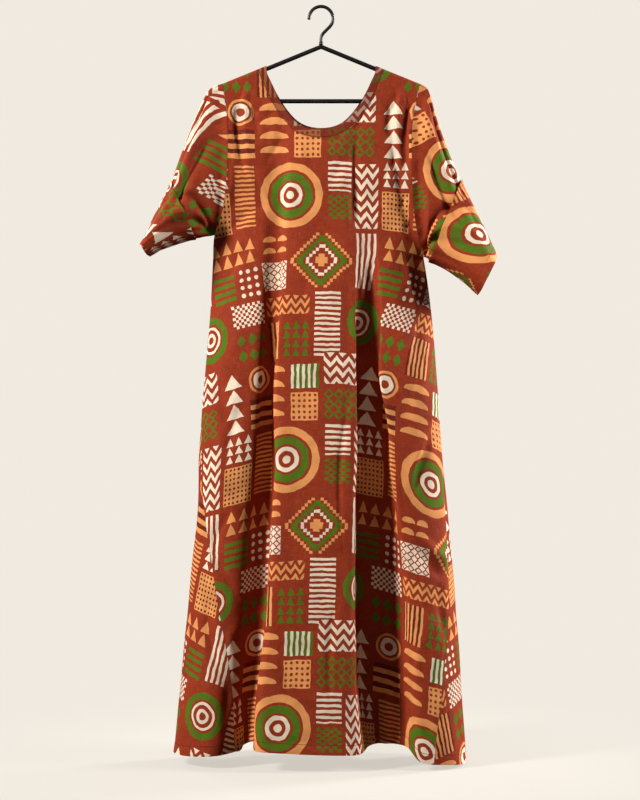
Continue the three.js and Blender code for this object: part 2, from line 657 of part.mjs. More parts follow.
// along a seam that has swung onto the front, both walls end square to the same surface
for (let row = UPPER_ROWS.length; row < front.length; row++) {
  for (const [side, end] of [
    ["left", 0],
    ["right", -1],
  ]) {
    const inward = frontNormals[row].at(end);
    const outward = backNormals[row].at(end);
    if (!swung(side, -front[row].at(end).z)) continue;
    inward.sub(outward).normalize();
    outward.copy(inward).negate();
  }
}
add("front", wallGeometry(front, false, 0, frontNormals), cloth);
add("back", wallGeometry(back, false, 0, backNormals), cloth);
for (const [name, folds, columns, depth, panelNormals] of [
  ["neck_band_front", FRONT, FRONT_COLUMNS, NECK.frontDepth, frontNormals],
  ["neck_band_back", BACK, BACK_COLUMNS, NECK.backDepth, backNormals],
]) {
  const band = neckBandRows(folds, columns, depth);
  const normals = gridNormals(band, false);
  // the band's seam and the panel's neck end square to the same surface
  normals.at(-1).forEach((normal, i) => normal.copy(panelNormals[0][i + columns[0]]));
  add(name, wallGeometry(band, false, 0, normals), bandCloth);
}
for (const [side, stations, outward] of [
  ["left", SLEEVE_LEFT, 1],
  ["right", SLEEVE_RIGHT, -1],
]) {
  add(`sleeve_${side}`, wallGeometry(sleeveRows(side, stations, SLEEVE_RINGS), true), cloth);
  const cuff = sleeveRows(side, stations, CUFF_RINGS);
  add(`cuff_${side}`, wallGeometry(cuff, true, outward * CUFF_STANDS_OUT), cuffCloth);
}
add("hanger_frame", frameGeometry(), blackMetal);
add("hanger_hook", hookGeometry(), blackMetal);

export default abaya;
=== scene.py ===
import math

import bpy
import numpy as np
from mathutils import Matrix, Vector


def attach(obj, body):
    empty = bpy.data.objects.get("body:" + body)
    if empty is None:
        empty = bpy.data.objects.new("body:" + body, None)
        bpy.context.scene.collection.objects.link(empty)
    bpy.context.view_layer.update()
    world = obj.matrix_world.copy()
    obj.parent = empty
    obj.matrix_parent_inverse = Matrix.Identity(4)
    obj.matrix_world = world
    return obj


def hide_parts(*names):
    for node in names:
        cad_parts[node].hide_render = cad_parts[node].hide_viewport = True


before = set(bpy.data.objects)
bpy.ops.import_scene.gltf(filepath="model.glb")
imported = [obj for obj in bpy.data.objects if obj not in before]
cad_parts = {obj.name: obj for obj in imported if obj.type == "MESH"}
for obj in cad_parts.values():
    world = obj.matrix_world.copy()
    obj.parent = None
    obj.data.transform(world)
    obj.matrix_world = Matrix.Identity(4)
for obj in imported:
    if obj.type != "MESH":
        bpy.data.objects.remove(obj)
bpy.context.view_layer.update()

# Camera at the photograph's viewing angle, level, a little below the garment's middle
CAMERA_DISTANCE = 3.6
FRAME_HEIGHT = 1.568
camera_data = bpy.data.cameras.new("camera")
camera_data.sensor_width = 36
camera_data.lens = 36 * CAMERA_DISTANCE / FRAME_HEIGHT
camera = bpy.data.objects.new("camera", camera_data)
camera.location = (-0.002, -CAMERA_DISTANCE, -0.768)
camera.rotation_euler = (math.pi / 2, 0, 0)
bpy.context.scene.collection.objects.link(camera)
bpy.context.scene.camera = camera

# Sizes shared with the part's source, in millimetres
CLOTH = 0.7  # the real cloth is thinner still, but a wall this thick shows its edge
SOLID_CLOTH = 1.6  # the part's own walls
SEAM_GAP = 0.3
ROD_RADIUS = 4.25
ROD_CLEARANCE = 0.65
APEX_DROP = 75.6
APEX_BEND = 7
ARM_SLOPE = math.radians(22.3)
BAR_DROP = 182.5
ARM_REACH = 186
HOOK_RADIUS = 3.25
HOOK_BEND = 23.5
HOOK_TAIL_ANGLE = math.radians(-42)
HOOK_STEM_TOP = 62
OVER_ROD = ROD_RADIUS + ROD_CLEARANCE + SOLID_CLOTH / 2
OVER_ROD_TALL = OVER_ROD / math.cos(ARM_SLOPE)
OPENING_LENGTH = 150
SHOULDER_PARTING = math.radians(1.2)
NECK_HALF, NECK_DROP = 107, 115
NECK_TAPER, NECK_TAPER_START = 0.12, 0.25
FRONT_NECK, BACK_NECK = 127, 117
BAND = 16
SHOULDER_HALF = 191
ARMHOLE_DEPTH = 22
UNDERARM_PARTING = 1.05
ARMHOLE_GAP = 0.6
BOW_FADES = 0.4  # a sleeve follows the armhole's bow down to this t
ROD_REACHES = 0.2  # and passes over the hanger's end above this t
SIDE_ROUNDING_LENGTH, SIDE_ROUNDING_LEAD = 340, 170
UNDERARM = {"left": 447, "right": 490}
# How far a fold's edge leans over its valley at a drop, as a share of its rise
OVERHANG = [(115, 0.3), (720, 0.3), (1000, 0.14), (1480, 0.05)]

# The body's half widths: drop, left and right
OUTLINE = [
    (100, 191, 191), (155, 191, 191), (228, 182, 178), (337, 184, 177.4), (402, 193, 181.3),
    (447, 209, 189.5), (490, 211.5, 201), (595, 217, 216), (717, 227, 226.6), (850, 236, 235.4),
    (1001, 243.7, 247.7), (1128, 255.3, 260), (1273, 269.5, 270.5), (1480, 290, 286),
]
# How far each side seam has swung onto the front: drop, left and right
SWING = [
    (800, 0, 0), (905, 5, 1), (990, 17, 4), (1080, 37, 9), (1182, 61, 17), (1265, 84, 30),
    (1349, 106, 45), (1480, 128, 68),
]
# Depth of the valleys' floor at a drop
FRONT_FLOOR = [(115, 5.4), (180, 8), (247, 16), (376, 22), (631, 25), (906, 27), (1480, 24)]
BACK_FLOOR = [(115, 5.4), (180, 8), (247, 15), (376, 20), (631, 26), (906, 32), (1480, 42)]
# Fold edges: drop, then the flat positions of D, A, B and C
FRONT_EDGES = [
    (115, -123, -60, 75, 123), (247, -110, -63.7, 74, 112), (455, -104, -70, 70.5, 113),
    (631, -112, -75.5, 65, 117), (720, -116, -78, 64, 114), (820, -120, -79, 64, 129),
    (906, -124, -80, 64, 134), (1040, -139, -90, 64.5, 151), (1160, -144, -96, 65, 160),
    (1264, -152, -107, 67, 165), (1360, -166, -121, 71.5, 167), (1480, -184, -131, 83, 170),
]
BACK_EDGES = [
    (115, -123, -64, 58, 123), (247, -112, -62, 56, 112), (631, -118, -66, 62, 112),
    (1040, -150, -84, 92, 150), (1480, -178, -108, 118, 182),
]
# How far the cloth comes forward at each edge, in the same columns
FRONT_RISES = [
    (115, 0, 0, 0, 0), (200, 2, 3, 0, 0), (247, 8, 10, 0, 0), (330, 11, 15, 7, 8), (455, 16, 22, 18, 18),
    (631, 32, 42, 38, 34), (906, 46, 60, 58, 50), (1160, 58, 74, 73, 66), (1480, 70, 88, 86, 88),
]
BACK_RISES = [
    (115, 0, 0, 0, 0), (247, 3, 6, 6, 3), (631, 22, 28, 28, 22), (1040, 40, 46, 46, 38),
    (1480, 52, 56, 54, 50),
]
# How softly it does so
FRONT_SOFTNESS = [
    (115, 12, 9, 12, 9), (455, 10, 8, 12, 7), (631, 10, 7, 8, 7), (906, 12, 6, 7, 8),
    (1040, 16, 5.5, 7, 10), (1160, 18, 5.5, 8, 13), (1300, 18, 5.5, 8, 13), (1480, 13, 6, 9, 19),
]
BACK_SOFTNESS = [(115, 12, 12, 12, 12), (1480, 13, 11, 11, 13)]
# Drop of the hem across each panel: 0 is its left edge, 1 to 4 are D, A, B and C, and 5 is its right edge
FRONT_HEM = [
    (0, 1450), (0.5, 1449), (0.8, 1445), (1, 1438), (1.4, 1430), (1.7, 1429), (2, 1436), (3, 1445),
    (3.5, 1434), (4, 1440), (4.5, 1461), (5, 1466),
]
BACK_HEM = [(0, 1450), (0.5, 1456), (1, 1441), (2.5, 1437), (4, 1443), (4.6, 1472), (5, 1466)]
# Rings of the sleeves: t, top x and drop, low x and drop, half depth
SLEEVE_RIGHT = [
    (0, 191.9, 148.1, 201.2, 487.5, 22), (0.12, 209.5, 161.5, 203, 488, 24),
    (0.4, 226.2, 218, 205.5, 489.5, 28), (0.7, 251, 286.6, 209, 492, 31),
    (1, 274.6, 339.7, 213, 495, 34), (1.35, 298.5, 389, 246, 511, 47),
    (1.7, 322, 440, 280, 535, 61), (2, 341.8, 486.5, 308.7, 560.8, 74),
]
SLEEVE_LEFT = [
    (0, 191.9, 148.1, 208.6, 444.5, 22), (0.12, 218, 161, 213, 446, 27),
    (0.4, 244, 212, 224, 448, 37), (0.7, 268, 272, 235, 449, 50),
    (1, 294, 342, 247, 450, 62), (1.35, 311.5, 381, 279, 459, 70),
    (1.7, 331, 426, 313, 471, 78), (2, 347.5, 466, 341, 482, 84),
]
# Columns between the neck's corner and fold edge A or B, as shares of the way
NECK_STEPS = [0, 0.016, 0.05, 0.17, 0.36, 0.57, 0.78, 1]
# Rows from a panel's top edge to the underarm, as shares of that drop, and how finely a panel is divided
UPPER_SHARES = [0, 0.005, 0.017, 0.06, 0.14, 0.25, 0.38, 0.52, 0.66, 0.79, 0.9, 0.97, 1]
UPPER_ROWS, LOWER_ROWS = 84, 150
TABLE_STEP = 3.0  # drop between the sections that a panel's lower part is read from

# The print leans by this slope beyond this distance from the middle, and turns over this width
GRAIN_LEAN = 0.3
GRAIN_TURNS = 130
GRAIN_SOFTNESS = 40

CENTRE_ROW = 90  # a row just below the underarm, where the print's middle is found
CHEST_DROP = 260
HEM_TURN = 20  # cloth turned up at a hem
HEM_STITCH = 19  # height of its stitching

# Creases pressed into the panels: x and drop of the middle, lean from upright in degrees, half length,
# half width and depth, where a negative depth is a ridge
FRONT_CREASES = [
    (166, 245, -3, 120, 9, 8), (149, 232, -4, 100, 8, -5), (136, 205, -12, 66, 7, 4.5),
    (125, 176, 20, 44, 5, 3.2), (158, 178, 36, 40, 6, -3), (112, 206, 52, 36, 4.5, 3),
    (146, 250, 64, 34, 5, 2.6), (140, 318, -28, 52, 6, -3.2), (166, 372, -34, 40, 5, 3),
    (128, 330, -24, 60, 7, 3), (96, 262, 40, 44, 5, 2.4), (176, 424, -50, 34, 5, 3),
    (177, 320, 6, 70, 7, -4), (152, 400, 58, 52, 8, 3.5), (160, 452, 44, 60, 8, -3.5),
    (-164, 235, 4, 110, 9, 7), (-147, 225, 3, 90, 8, -4.5), (-134, 205, 11, 66, 7, 4),
    (-176, 330, -6, 70, 7, -3.5), (-150, 410, -52, 56, 8, 3.5), (-168, 500, -30, 70, 9, 3),
    (-122, 180, -18, 42, 5, 3), (-156, 182, -38, 38, 6, -2.8), (-108, 214, -50, 34, 4.5, 2.8),
    (-142, 262, -60, 34, 5, 2.4), (-138, 330, 26, 50, 6, -3), (-168, 378, 36, 38, 5, 2.8),
    (-92, 280, -36, 44, 5, 2.2), (-124, 356, 20, 56, 7, 2.8),
    (30, 330, -22, 62, 10, 3), (-24, 300, 20, 52, 9, 2.6), (6, 262, 84, 50, 7, 1.6),
    (62, 410, -8, 90, 9, 3.5), (178, 560, 14, 90, 9, -4), (188, 640, -8, 80, 9, 4),
    (198, 873, -20, 102, 8, 7), (184, 884, -22, 84, 9, -4.5), (172, 760, -12, 90, 9, 3.5),
    (160, 985, 12, 80, 9, 3.5), (220, 1062, 48, 54, 9, -6), (206, 1082, 46, 60, 9, 4.5),
    (232, 1180, 12, 90, 9, 4), (196, 1230, -14, 90, 10, -4), (214, 1330, -6, 80, 10, 3.5),
    (-196, 760, 14, 90, 10, 4), (-172, 830, -16, 80, 9, 4), (-184, 950, 24, 80, 10, -4.5),
    (-206, 1040, -22, 80, 9, 4.5), (-178, 1120, 34, 64, 9, 5), (-226, 1200, 10, 90, 10, 4),
    (-190, 1250, -26, 70, 10, -4.5), (-206, 1350, 8, 70, 10, 3.5), (36, 900, -3, 250, 6, 4.2),
    (48, 905, -3, 230, 7, -2.6), (16, 1240, -4, 150, 7, 3.6), (28, 1245, -4, 140, 8, -2.4),
    (64, 345, 2, 160, 11, 9), (150, 335, 9.5, 135, 10, 8), (51, 640, 2, 190, 10, 6),
    (76, 532, 0, 50, 6, -5), (98, 545, 2, 64, 7, 4), (125, 1405, 3, 80, 11, -14),
    (157, 1400, 2, 90, 8, 6), (-34, 560, -6, 130, 11, 2.6), (-46, 780, 5, 150, 12, 3),
    (-58, 1010, -4, 130, 12, 3.2),
    (-74, 1290, 7, 120, 12, 3.4), (58, 1330, -6, 90, 10, 3), (-20, 1130, 4, 110, 13, -2.6),
]
BACK_CREASES = [
    (164, 240, -4, 110, 9, 12), (147, 235, -5, 90, 8, -7), (-165, 235, 4, 106, 9, 12),
    (-146, 225, 5, 84, 8, -7), (120, 290, -14, 70, 8, 6), (-118, 300, 13, 76, 8, 6),
    (0, 290, 4, 100, 12, 4.5), (150, 430, 40, 60, 9, 6), (-154, 430, -42, 62, 9, 6),
    (168, 520, 18, 80, 9, -6), (-172, 530, -20, 80, 9, 7), (-30, 520, -8, 130, 12, 5),
    (38, 640, 7, 140, 12, 5), (186, 800, -18, 96, 10, 7.5), (-190, 780, 18, 90, 10, 7.5),
    (-8, 860, 5, 160, 13, 6), (170, 960, 22, 80, 10, -7), (-172, 1010, -18, 90, 10, 7.5),
    (52, 1060, -6, 150, 13, 6), (-60, 1160, 7, 150, 12, 5.5), (208, 1150, -10, 110, 10, 7),
    (-216, 1220, 10, 100, 10, 7), (184, 1290, 14, 90, 10, -7), (10, 1320, 5, 120, 12, 5),
    (-180, 1350, -8, 80, 10, 6),
]


def curve(at, value):
    """A smooth curve through points, as a function of numpy positions."""
    at, value = np.array(at, float), np.array(value, float)
    low = np.maximum(np.arange(len(at)) - 1, 0)
    high = np.minimum(np.arange(len(at)) + 1, len(at) - 1)
    slope = (value[high] - value[low]) / (at[high] - at[low])

    def read(position):
        p = np.clip(np.asarray(position, float), at[0], at[-1])
        i = np.clip(np.searchsorted(at, p, side="right") - 1, 0, len(at) - 2)
        width = at[i + 1] - at[i]
        s = (p - at[i]) / width
        return (
            value[i] * (1 + 2 * s) * (1 - s) ** 2
            + slope[i] * width * s * (1 - s) ** 2
            + value[i + 1] * s * s * (3 - 2 * s)
            + slope[i + 1] * width * s * s * (s - 1)
        )

    return read


def column_of(rows, index):
    return curve([row[0] for row in rows], [row[index] for row in rows])


def smooth(share):
    s = np.clip(share, 0, 1)
    return s * s * (3 - 2 * s)


outline = {"left": column_of(OUTLINE, 1), "right": column_of(OUTLINE, 2)}
swing = {"left": column_of(SWING, 1), "right": column_of(SWING, 2)}
overhang = column_of(OVERHANG, 1)
FRONT = dict(floor=column_of(FRONT_FLOOR, 1), toward=-1)
BACK = dict(floor=column_of(BACK_FLOOR, 1), toward=1)
for folds, edges, rises, softness in (
    (FRONT, FRONT_EDGES, FRONT_RISES, FRONT_SOFTNESS),
    (BACK, BACK_EDGES, BACK_RISES, BACK_SOFTNESS),
):
    folds["steps"] = [
        (column_of(edges, i), column_of(rises, i), column_of(softness, i), turn)
        for i, turn in ((1, -1), (2, 1), (3, -1), (4, 1))
    ]


def shoulder_drop(x):
    return APEX_DROP + np.abs(x) * math.tan(ARM_SLOPE) - OVER_ROD_TALL


def seam_drop(x):
    return shoulder_drop(x) + OVER_ROD_TALL * (1 - math.cos(SHOULDER_PARTING))


SHOULDER_TIP = float(shoulder_drop(SHOULDER_HALF))


def by_side(x, left, right):
    return np.where(x < 0, left, right)


def edge_depth(x, drop):
    underarm = by_side(x, UNDERARM["left"], UNDERARM["right"])
    below = smooth((drop - underarm) / SIDE_ROUNDING_LENGTH)
    share = np.clip((drop - SHOULDER_TIP) / (underarm - SHOULDER_TIP), 0, 1)
    open_edge = np.maximum(ARMHOLE_DEPTH * 2 * np.sqrt(share * (1 - share)), UNDERARM_PARTING)
    return np.where(drop > underarm, UNDERARM_PARTING * (1 - below) + 0.1 * below, open_edge)


def panel_point(folds, x, drop):
    """Points of a panel's middle surface at flat positions and drops, in millimetres."""
    x, drop = np.broadcast_arrays(np.asarray(x, float), np.asarray(drop, float))
    half = by_side(x, outline["left"](drop), outline["right"](drop))
    across = np.minimum(np.abs(x) / half, 1)
    underarm = by_side(x, UNDERARM["left"], UNDERARM["right"])
    lead = SIDE_ROUNDING_LEAD * (1 - across**2)
    rounding = smooth((drop - underarm + lead) / SIDE_ROUNDING_LENGTH)
    crown = (1 - across**2) * (1 - rounding) + np.sqrt(1 - across**4) * rounding
    level, lean = 0, 0
    for i, (edge, rise, softness, turn) in enumerate(folds["steps"]):
        high, away = rise(drop), (x - edge(drop)) / softness(drop)
        level = level + high / (1 + np.exp(-turn * away)) - (high if i == 2 else 0)
        lean = lean - overhang(drop) * high * away * np.exp(-away * away / 8)
    full = (folds["floor"](drop) + level) * crown + edge_depth(x, drop) * across**8
    below = drop - shoulder_drop(x)
    over = np.sqrt(1 - (1 - np.clip(below / OVER_ROD_TALL, 0, 1)) ** 2)
    opened = smooth((below - OVER_ROD_TALL) / OPENING_LENGTH)
    depth = OVER_ROD * over * (1 - opened) + full * opened
    return np.stack([x + lean * crown * opened, folds["toward"] * depth, -drop], -1)


def stretch(folds, start, stop, drop, count=160):
    share = (1 - np.cos(np.pi * np.arange(count + 1) / count)) / 2
    return panel_point(folds, start + (stop - start) * share, drop)


def swung(side, drop):
    value = float(swing[side](drop))
    return value if value > 1 else 0


def sections(folds, drop):
    """The panel's five stretches at one drop, each a polyline."""
    left, right = float(outline["left"](drop)), float(outline["right"](drop))
    steps = [float(edge(drop)) for edge, *_ in folds["steps"]]
    gap = SEAM_GAP / 2
    if folds is FRONT:
        start = -left + (swung("left", drop) and swung("left", drop) + gap)
        stop = right - (swung("right", drop) and swung("right", drop) + gap)
        steps[0] = max(steps[0], start + (steps[1] - start) * 0.4)
        stops = [start, *steps, stop]
        return [stretch(folds, a, b, drop) for a, b in zip(stops, stops[1:])]
    stops = [-left, *steps, right]
    lines = [stretch(folds, a, b, drop) for a, b in zip(stops, stops[1:])]
    if swung("left", drop):
        round_side = stretch(FRONT, -left + swung("left", drop) - gap, -left, drop)
        lines[0] = np.concatenate([round_side[:-1], lines[0]])
    if swung("right", drop):
        round_side = stretch(FRONT, right, right - swung("right", drop) + gap, drop)
        lines[4] = np.concatenate([lines[4], round_side[1:]])
    return lines


def along(line, shares):
    """Points at shares of a polyline's length."""
    lengths = np.concatenate([[0], np.cumsum(np.linalg.norm(np.diff(line, axis=0), axis=1))])
    wanted = np.asarray(shares) * lengths[-1]
    return np.stack([np.interp(wanted, lengths, line[:, k]) for k in range(3)], -1)


def crossing(holds, low, high):
    """The value between low and high up to which a test holds."""
    for _ in range(40):
        middle = (low + high) / 2
        low, high = (middle, high) if holds(middle) else (low, middle)
    return (low + high) / 2


def neck_point(deep, out, angle):
    """x and drop on the neck's curve, or on one that lies "out" from it, where angle 0 is its left end."""
    taper = 1 - NECK_TAPER * np.abs(np.sin(2 * angle)) * smooth(np.sin(angle) / NECK_TAPER_START)
    return -(NECK_HALF + out) * np.cos(angle) * taper, NECK_DROP + (deep + out) * np.sin(angle)


def neck_angles(folds, counts, deep, out):
    """The angles at which the columns between D and C meet a curve of the neck."""

    def above(angle):
        x, drop = neck_point(deep, out, angle)
        return drop < seam_drop(x)

    corner = crossing(above, -0.2, 0.5)
    edges = [float(folds["steps"][i][0](NECK_DROP + deep)) for i in (1, 2)]
    left, right = (crossing(lambda a: neck_point(deep, out, a)[0] < edge, 0, math.pi) for edge in edges)
    whole = len(NECK_STEPS)
    sides = (counts[1], counts[3])
    steps = [np.interp(np.arange(n) * (whole - 1) / n, range(whole), NECK_STEPS) for n in sides]
    across = left + (right - left) * np.arange(counts[2]) / counts[2]
    mirrored = (math.pi - corner) + (right - (math.pi - corner)) * steps[1]
    return np.concatenate([corner + (left - corner) * steps[0], across, [right], mirrored[::-1]])


def panel_grid(folds, counts, deep, hem):
    """A panel's middle surface as a grid of points, rows from neck and shoulders to hem."""
    shares = [np.arange(n) / n for n in counts]
    shares[-1] = np.append(shares[-1], 1)
    tip, corner = SHOULDER_HALF, NECK_HALF + BAND
    outer = [tip + (corner - tip) * np.arange(n) / n for n in (counts[0], counts[4])]
    nx, nd = neck_point(deep, BAND, neck_angles(folds, counts, deep, BAND))
    top_x = np.concatenate([-outer[0], nx, outer[1][::-1]])
    top_drop = np.concatenate([seam_drop(outer[0]), nd, seam_drop(outer[1])[::-1]])
    levels = np.arange(440, 1486, TABLE_STEP)
    cuts = [sections(folds, level) for level in levels]
    table = np.stack([np.concatenate([along(line, s) for line, s in zip(cut, shares)]) for cut in cuts])
    columns = len(top_x)
    side = (1 + table[0, :, 0] / float(outline["left"](UNDERARM["left"]))) / 2
    underarm = UNDERARM["left"] + (UNDERARM["right"] - UNDERARM["left"]) * smooth(side)
    place = np.concatenate([part + s for part, s in enumerate(shares)])
    foot = column_of(hem, 1)(place)

    def read(drops):
        f = np.clip((drops - levels[0]) / TABLE_STEP, 0, len(levels) - 1.001)
        i = f.astype(int)
        w = (f - i)[..., None]
        j = np.arange(columns)
        points = table[i, j] * (1 - w) + table[i + 1, j] * w
        points[..., 2] = -drops
        return points

    under = read(underarm)[:, 0]
    outermost = np.where(place < 1, 1 - place, np.where(place > 4, place - 4, 0))
    rows = []
    whole = len(UPPER_SHARES)
    for share in np.interp(np.linspace(0, whole - 1, UPPER_ROWS + 1), range(whole), UPPER_SHARES):
        drop = top_drop + (underarm - top_drop) * share
        straight = top_x + (under - top_x) * share
        edge = by_side(straight, outline["left"](drop), outline["right"](drop))
        edge_low = by_side(straight, outline["left"](underarm), outline["right"](underarm))
        bow = edge - (tip + (edge_low - tip) * share)
        rows.append(panel_point(folds, straight + np.sign(straight) * bow * outermost, drop))
    for i in range(1, LOWER_ROWS + 1):
        rows.append(read(underarm + (foot - underarm) * i / LOWER_ROWS))
    return np.array(rows)


def normals_of(grid, around=False):
    """Unit normals of a grid of points, pointing along its columns' direction crossed with its rows'."""
    if around:
        across = np.roll(grid, -1, 1) - np.roll(grid, 1, 1)
    else:
        across = np.gradient(grid, axis=1)
    n = np.cross(across, np.gradient(grid, axis=0))
    return n / np.maximum(np.linalg.norm(n, axis=-1, keepdims=True), 1e-9)


def lengths_along(grid, axis):
    step = np.linalg.norm(np.diff(grid, axis=axis), axis=-1)
    zero = np.zeros((1, grid.shape[1])) if axis == 0 else np.zeros((grid.shape[0], 1))
    return np.concatenate([zero, np.cumsum(step, axis=axis)], axis=axis)


def ripple(u, v):
    """A fixed, uneven waviness of cloth that has been worn and hung, about plus or minus 1."""
    a = np.sin(u / 31 + 1.7 * np.sin(v / 113)) * np.sin(v / 171 + 0.8 * np.sin(u / 57))
    b = np.sin(u / 17.3 + v / 61 + 1.3 * np.sin(v / 47)) * 0.5
    c = np.sin(u / 9.1 - v / 37 + 2 * np.sin(u / 41)) * 0.22
    return a + b + c


def hem_rise(from_hem):
    """The step of a turned-up hem and the groove of its stitching."""
    return 0.5 * smooth((HEM_TURN - from_hem) / 3) - 0.35 * np.exp(-(((from_hem - HEM_STITCH) / 1.5) ** 2))


def crease_depth(creases, x, drop):
    total = np.zeros_like(x)
    for cx, cd, lean, length, width, depth in creases:
        turn = math.radians(lean)
        p = (drop - cd) * math.cos(turn) + (x - cx) * math.sin(turn)
        q = (x - cx) * math.cos(turn) - (drop - cd) * math.sin(turn)
        bend = 0.12 * length * (p / length) ** 2
        reach = np.clip(1 - (p / length) ** 2, 0, 1) ** 1.5
        total += depth * reach * np.exp(-(((q - bend) / width) ** 2))
    return total


def build_shell(name, grid, normals, uv, edge_uv, around=False, thick=CLOTH):
    """A closed thin wall about a grid in millimetres. Outer faces come first, then inner faces and rims."""
    high, wide = grid.shape[:2]
    outer, inner = grid + normals * thick / 2, grid - normals * thick / 2
    verts = np.concatenate([outer.reshape(-1, 3), inner.reshape(-1, 3)]) / 1000
    index = np.arange(high * wide).reshape(high, wide)
    if around:
        index = np.concatenate([index, index[:, :1]], axis=1)
        uv = np.concatenate([uv, uv[:, -1:] + (uv[:, -1:] - uv[:, -2:-1]) * [1, 0]], axis=1)
        edge_uv = np.concatenate([edge_uv, edge_uv[:, -1:]], axis=1)
    a, b, c, d = index[:-1, :-1], index[:-1, 1:], index[1:, 1:], index[1:, :-1]
    corners = np.stack([a, b, c, d], -1).reshape(-1, 4)
    count = high * wide
    faces = [corners, corners[:, ::-1] + count]

    def corner_values(values):
        four = [values[:-1, :-1], values[:-1, 1:], values[1:, 1:], values[1:, :-1]]
        return np.stack(four, -2).reshape(-1, 4, 2)

    uvs, edges = corner_values(uv), corner_values(edge_uv)
    uv_list, edge_list = [uvs, uvs[:, ::-1]], [edges, edges[:, ::-1]]
    rims = [(index[0, ::-1], uv[0, ::-1], edge_uv[0, ::-1]), (index[-1], uv[-1], edge_uv[-1])]
    if not around:
        rims.append((index[:, 0], uv[:, 0], edge_uv[:, 0]))
        rims.append((index[::-1, -1], uv[::-1, -1], edge_uv[::-1, -1]))
    for line, line_uv, line_edge in rims:
        quad = np.stack([line[:-1], line[:-1] + count, line[1:] + count, line[1:]], -1)
        faces.append(quad[:, ::-1])
        for store, values in ((uv_list, line_uv), (edge_list, line_edge)):
            store.append(np.stack([values[:-1], values[:-1], values[1:], values[1:]], 1)[:, ::-1])
    faces = np.concatenate(faces)
    mesh = bpy.data.meshes.new(name)
    mesh.from_pydata(verts.tolist(), [], faces.tolist())
    for layer, values in (("cloth", uv_list), ("edge", edge_list)):
        flat = np.concatenate(values).reshape(-1)
        mesh.uv_layers.new(name=layer).data.foreach_set("uv", flat.astype(np.float32))
    inside = np.zeros(len(faces), np.float32)
    inside[len(corners) : 2 * len(corners)] = 1
    mesh.attributes.new("wrong_side", "FLOAT", "FACE").data.foreach_set("value", inside)
    mesh.polygons.foreach_set("use_smooth", np.ones(len(faces), bool))
    mesh.update()
    volume = np.einsum("ij,ij->", verts[faces[:, 0]], np.cross(verts[faces[:, 1]], verts[faces[:, 2]]))
    volume += np.einsum("ij,ij->", verts[faces[:, 0]], np.cross(verts[faces[:, 2]], verts[faces[:, 3]]))
    if volume < 0:
        mesh.flip_normals()
    piece = bpy.data.objects.new(name, mesh)
    bpy.context.scene.collection.objects.link(piece)
    # a rim has sharp edges where it meets the two sides of the cloth
    mesh.set_sharp_from_angle(angle=math.radians(60))
    return piece


# Colours of the print, as seen in the photograph
def linear(r, g, b):
    return [((c / 255 + 0.055) / 1.055) ** 2.4 if c > 10 else c / 255 / 12.92 for c in (r, g, b)] + [1]


INK = {
    "rust": linear(140, 44, 14),
    "deep": linear(96, 20, 6),
    "cream": linear(232, 214, 190),
    "tan": linear(222, 148, 86),
    "green": linear(72, 106, 4),
}

# The print's repeat in millimetres. Each row is a block: its kind, left and top edge, width and height, the
# pitch of its motif across and down, and its ground and ink colours
REPEAT = (360, 510)
BLOCKS = [
    ("rings", 4, 4, 132, 132, 66, 66, "rust", "sun"),
    ("bars", 144, 4, 48, 58, 48, 11, "rust", "cream"),
    ("checks", 144, 70, 48, 46, 16, 11.5, "rust", "green"),
    ("chevrons", 200, 8, 44, 124, 22, 21, "rust", "cream"),
    ("teeth", 252, 2, 54, 50, 18, 16.6, "rust", "cream"),
    ("dots", 252, 60, 54, 72, 7.7, 9, "tan", "deep"),
    ("bars", 316, 6, 40, 118, 40, 8.5, "tan", "rust"),
    ("domes", 6, 144, 58, 44, 29, 22, "rust", "tan"),
    ("weave", 4, 196, 60, 54, 15, 13.5, "cream", "rust"),
    ("steps", 72, 144, 120, 106, 60, 53, "rust", "diamond"),
    ("posts", 202, 142, 46, 106, 11.5, 106, "rust", "cream"),
    ("teeth", 256, 142, 98, 48, 24.5, 24, "rust", "tan"),
    ("bars", 256, 198, 48, 56, 48, 14, "green", "rust"),
    ("dots", 312, 198, 46, 60, 15.3, 15, "rust", "cream"),
    ("chevrons", 4, 264, 108, 36, 18, 18, "rust", "tan"),
    ("posts", 4, 312, 48, 74, 9.6, 74, "tan", "deep"),
    ("teeth", 60, 312, 54, 70, 18, 17.5, "rust", "green"),
    ("bars", 122, 258, 50, 130, 50, 10, "rust", "cream"),
    ("rings", 178, 262, 104, 104, 52, 52, "rust", "wheel"),
    ("checks", 290, 266, 66, 44, 11, 11, "rust", "cream"),
    ("lozenges", 290, 320, 66, 60, 22, 30, "rust", "green"),
    ("domes", 4, 396, 66, 112, 66, 28, "rust", "tan"),
    ("posts", 78, 398, 54, 46, 10.8, 46, "green", "cream"),
    ("dots", 78, 452, 52, 54, 10.4, 10.8, "tan", "rust"),
    ("chevrons", 142, 376, 96, 60, 24, 20, "rust", "cream"),
    ("weave", 142, 446, 94, 58, 18.8, 19.3, "rust", "green"),
    ("teeth", 250, 390, 46, 116, 46, 29, "rust", "cream"),
    ("rings", 304, 388, 54, 54, 27, 27, "rust", "button"),
    ("bars", 304, 450, 54, 56, 54, 18.6, "tan", "deep"),
]
STEP_SIZE = 6.0  # of the stepped motif's edges
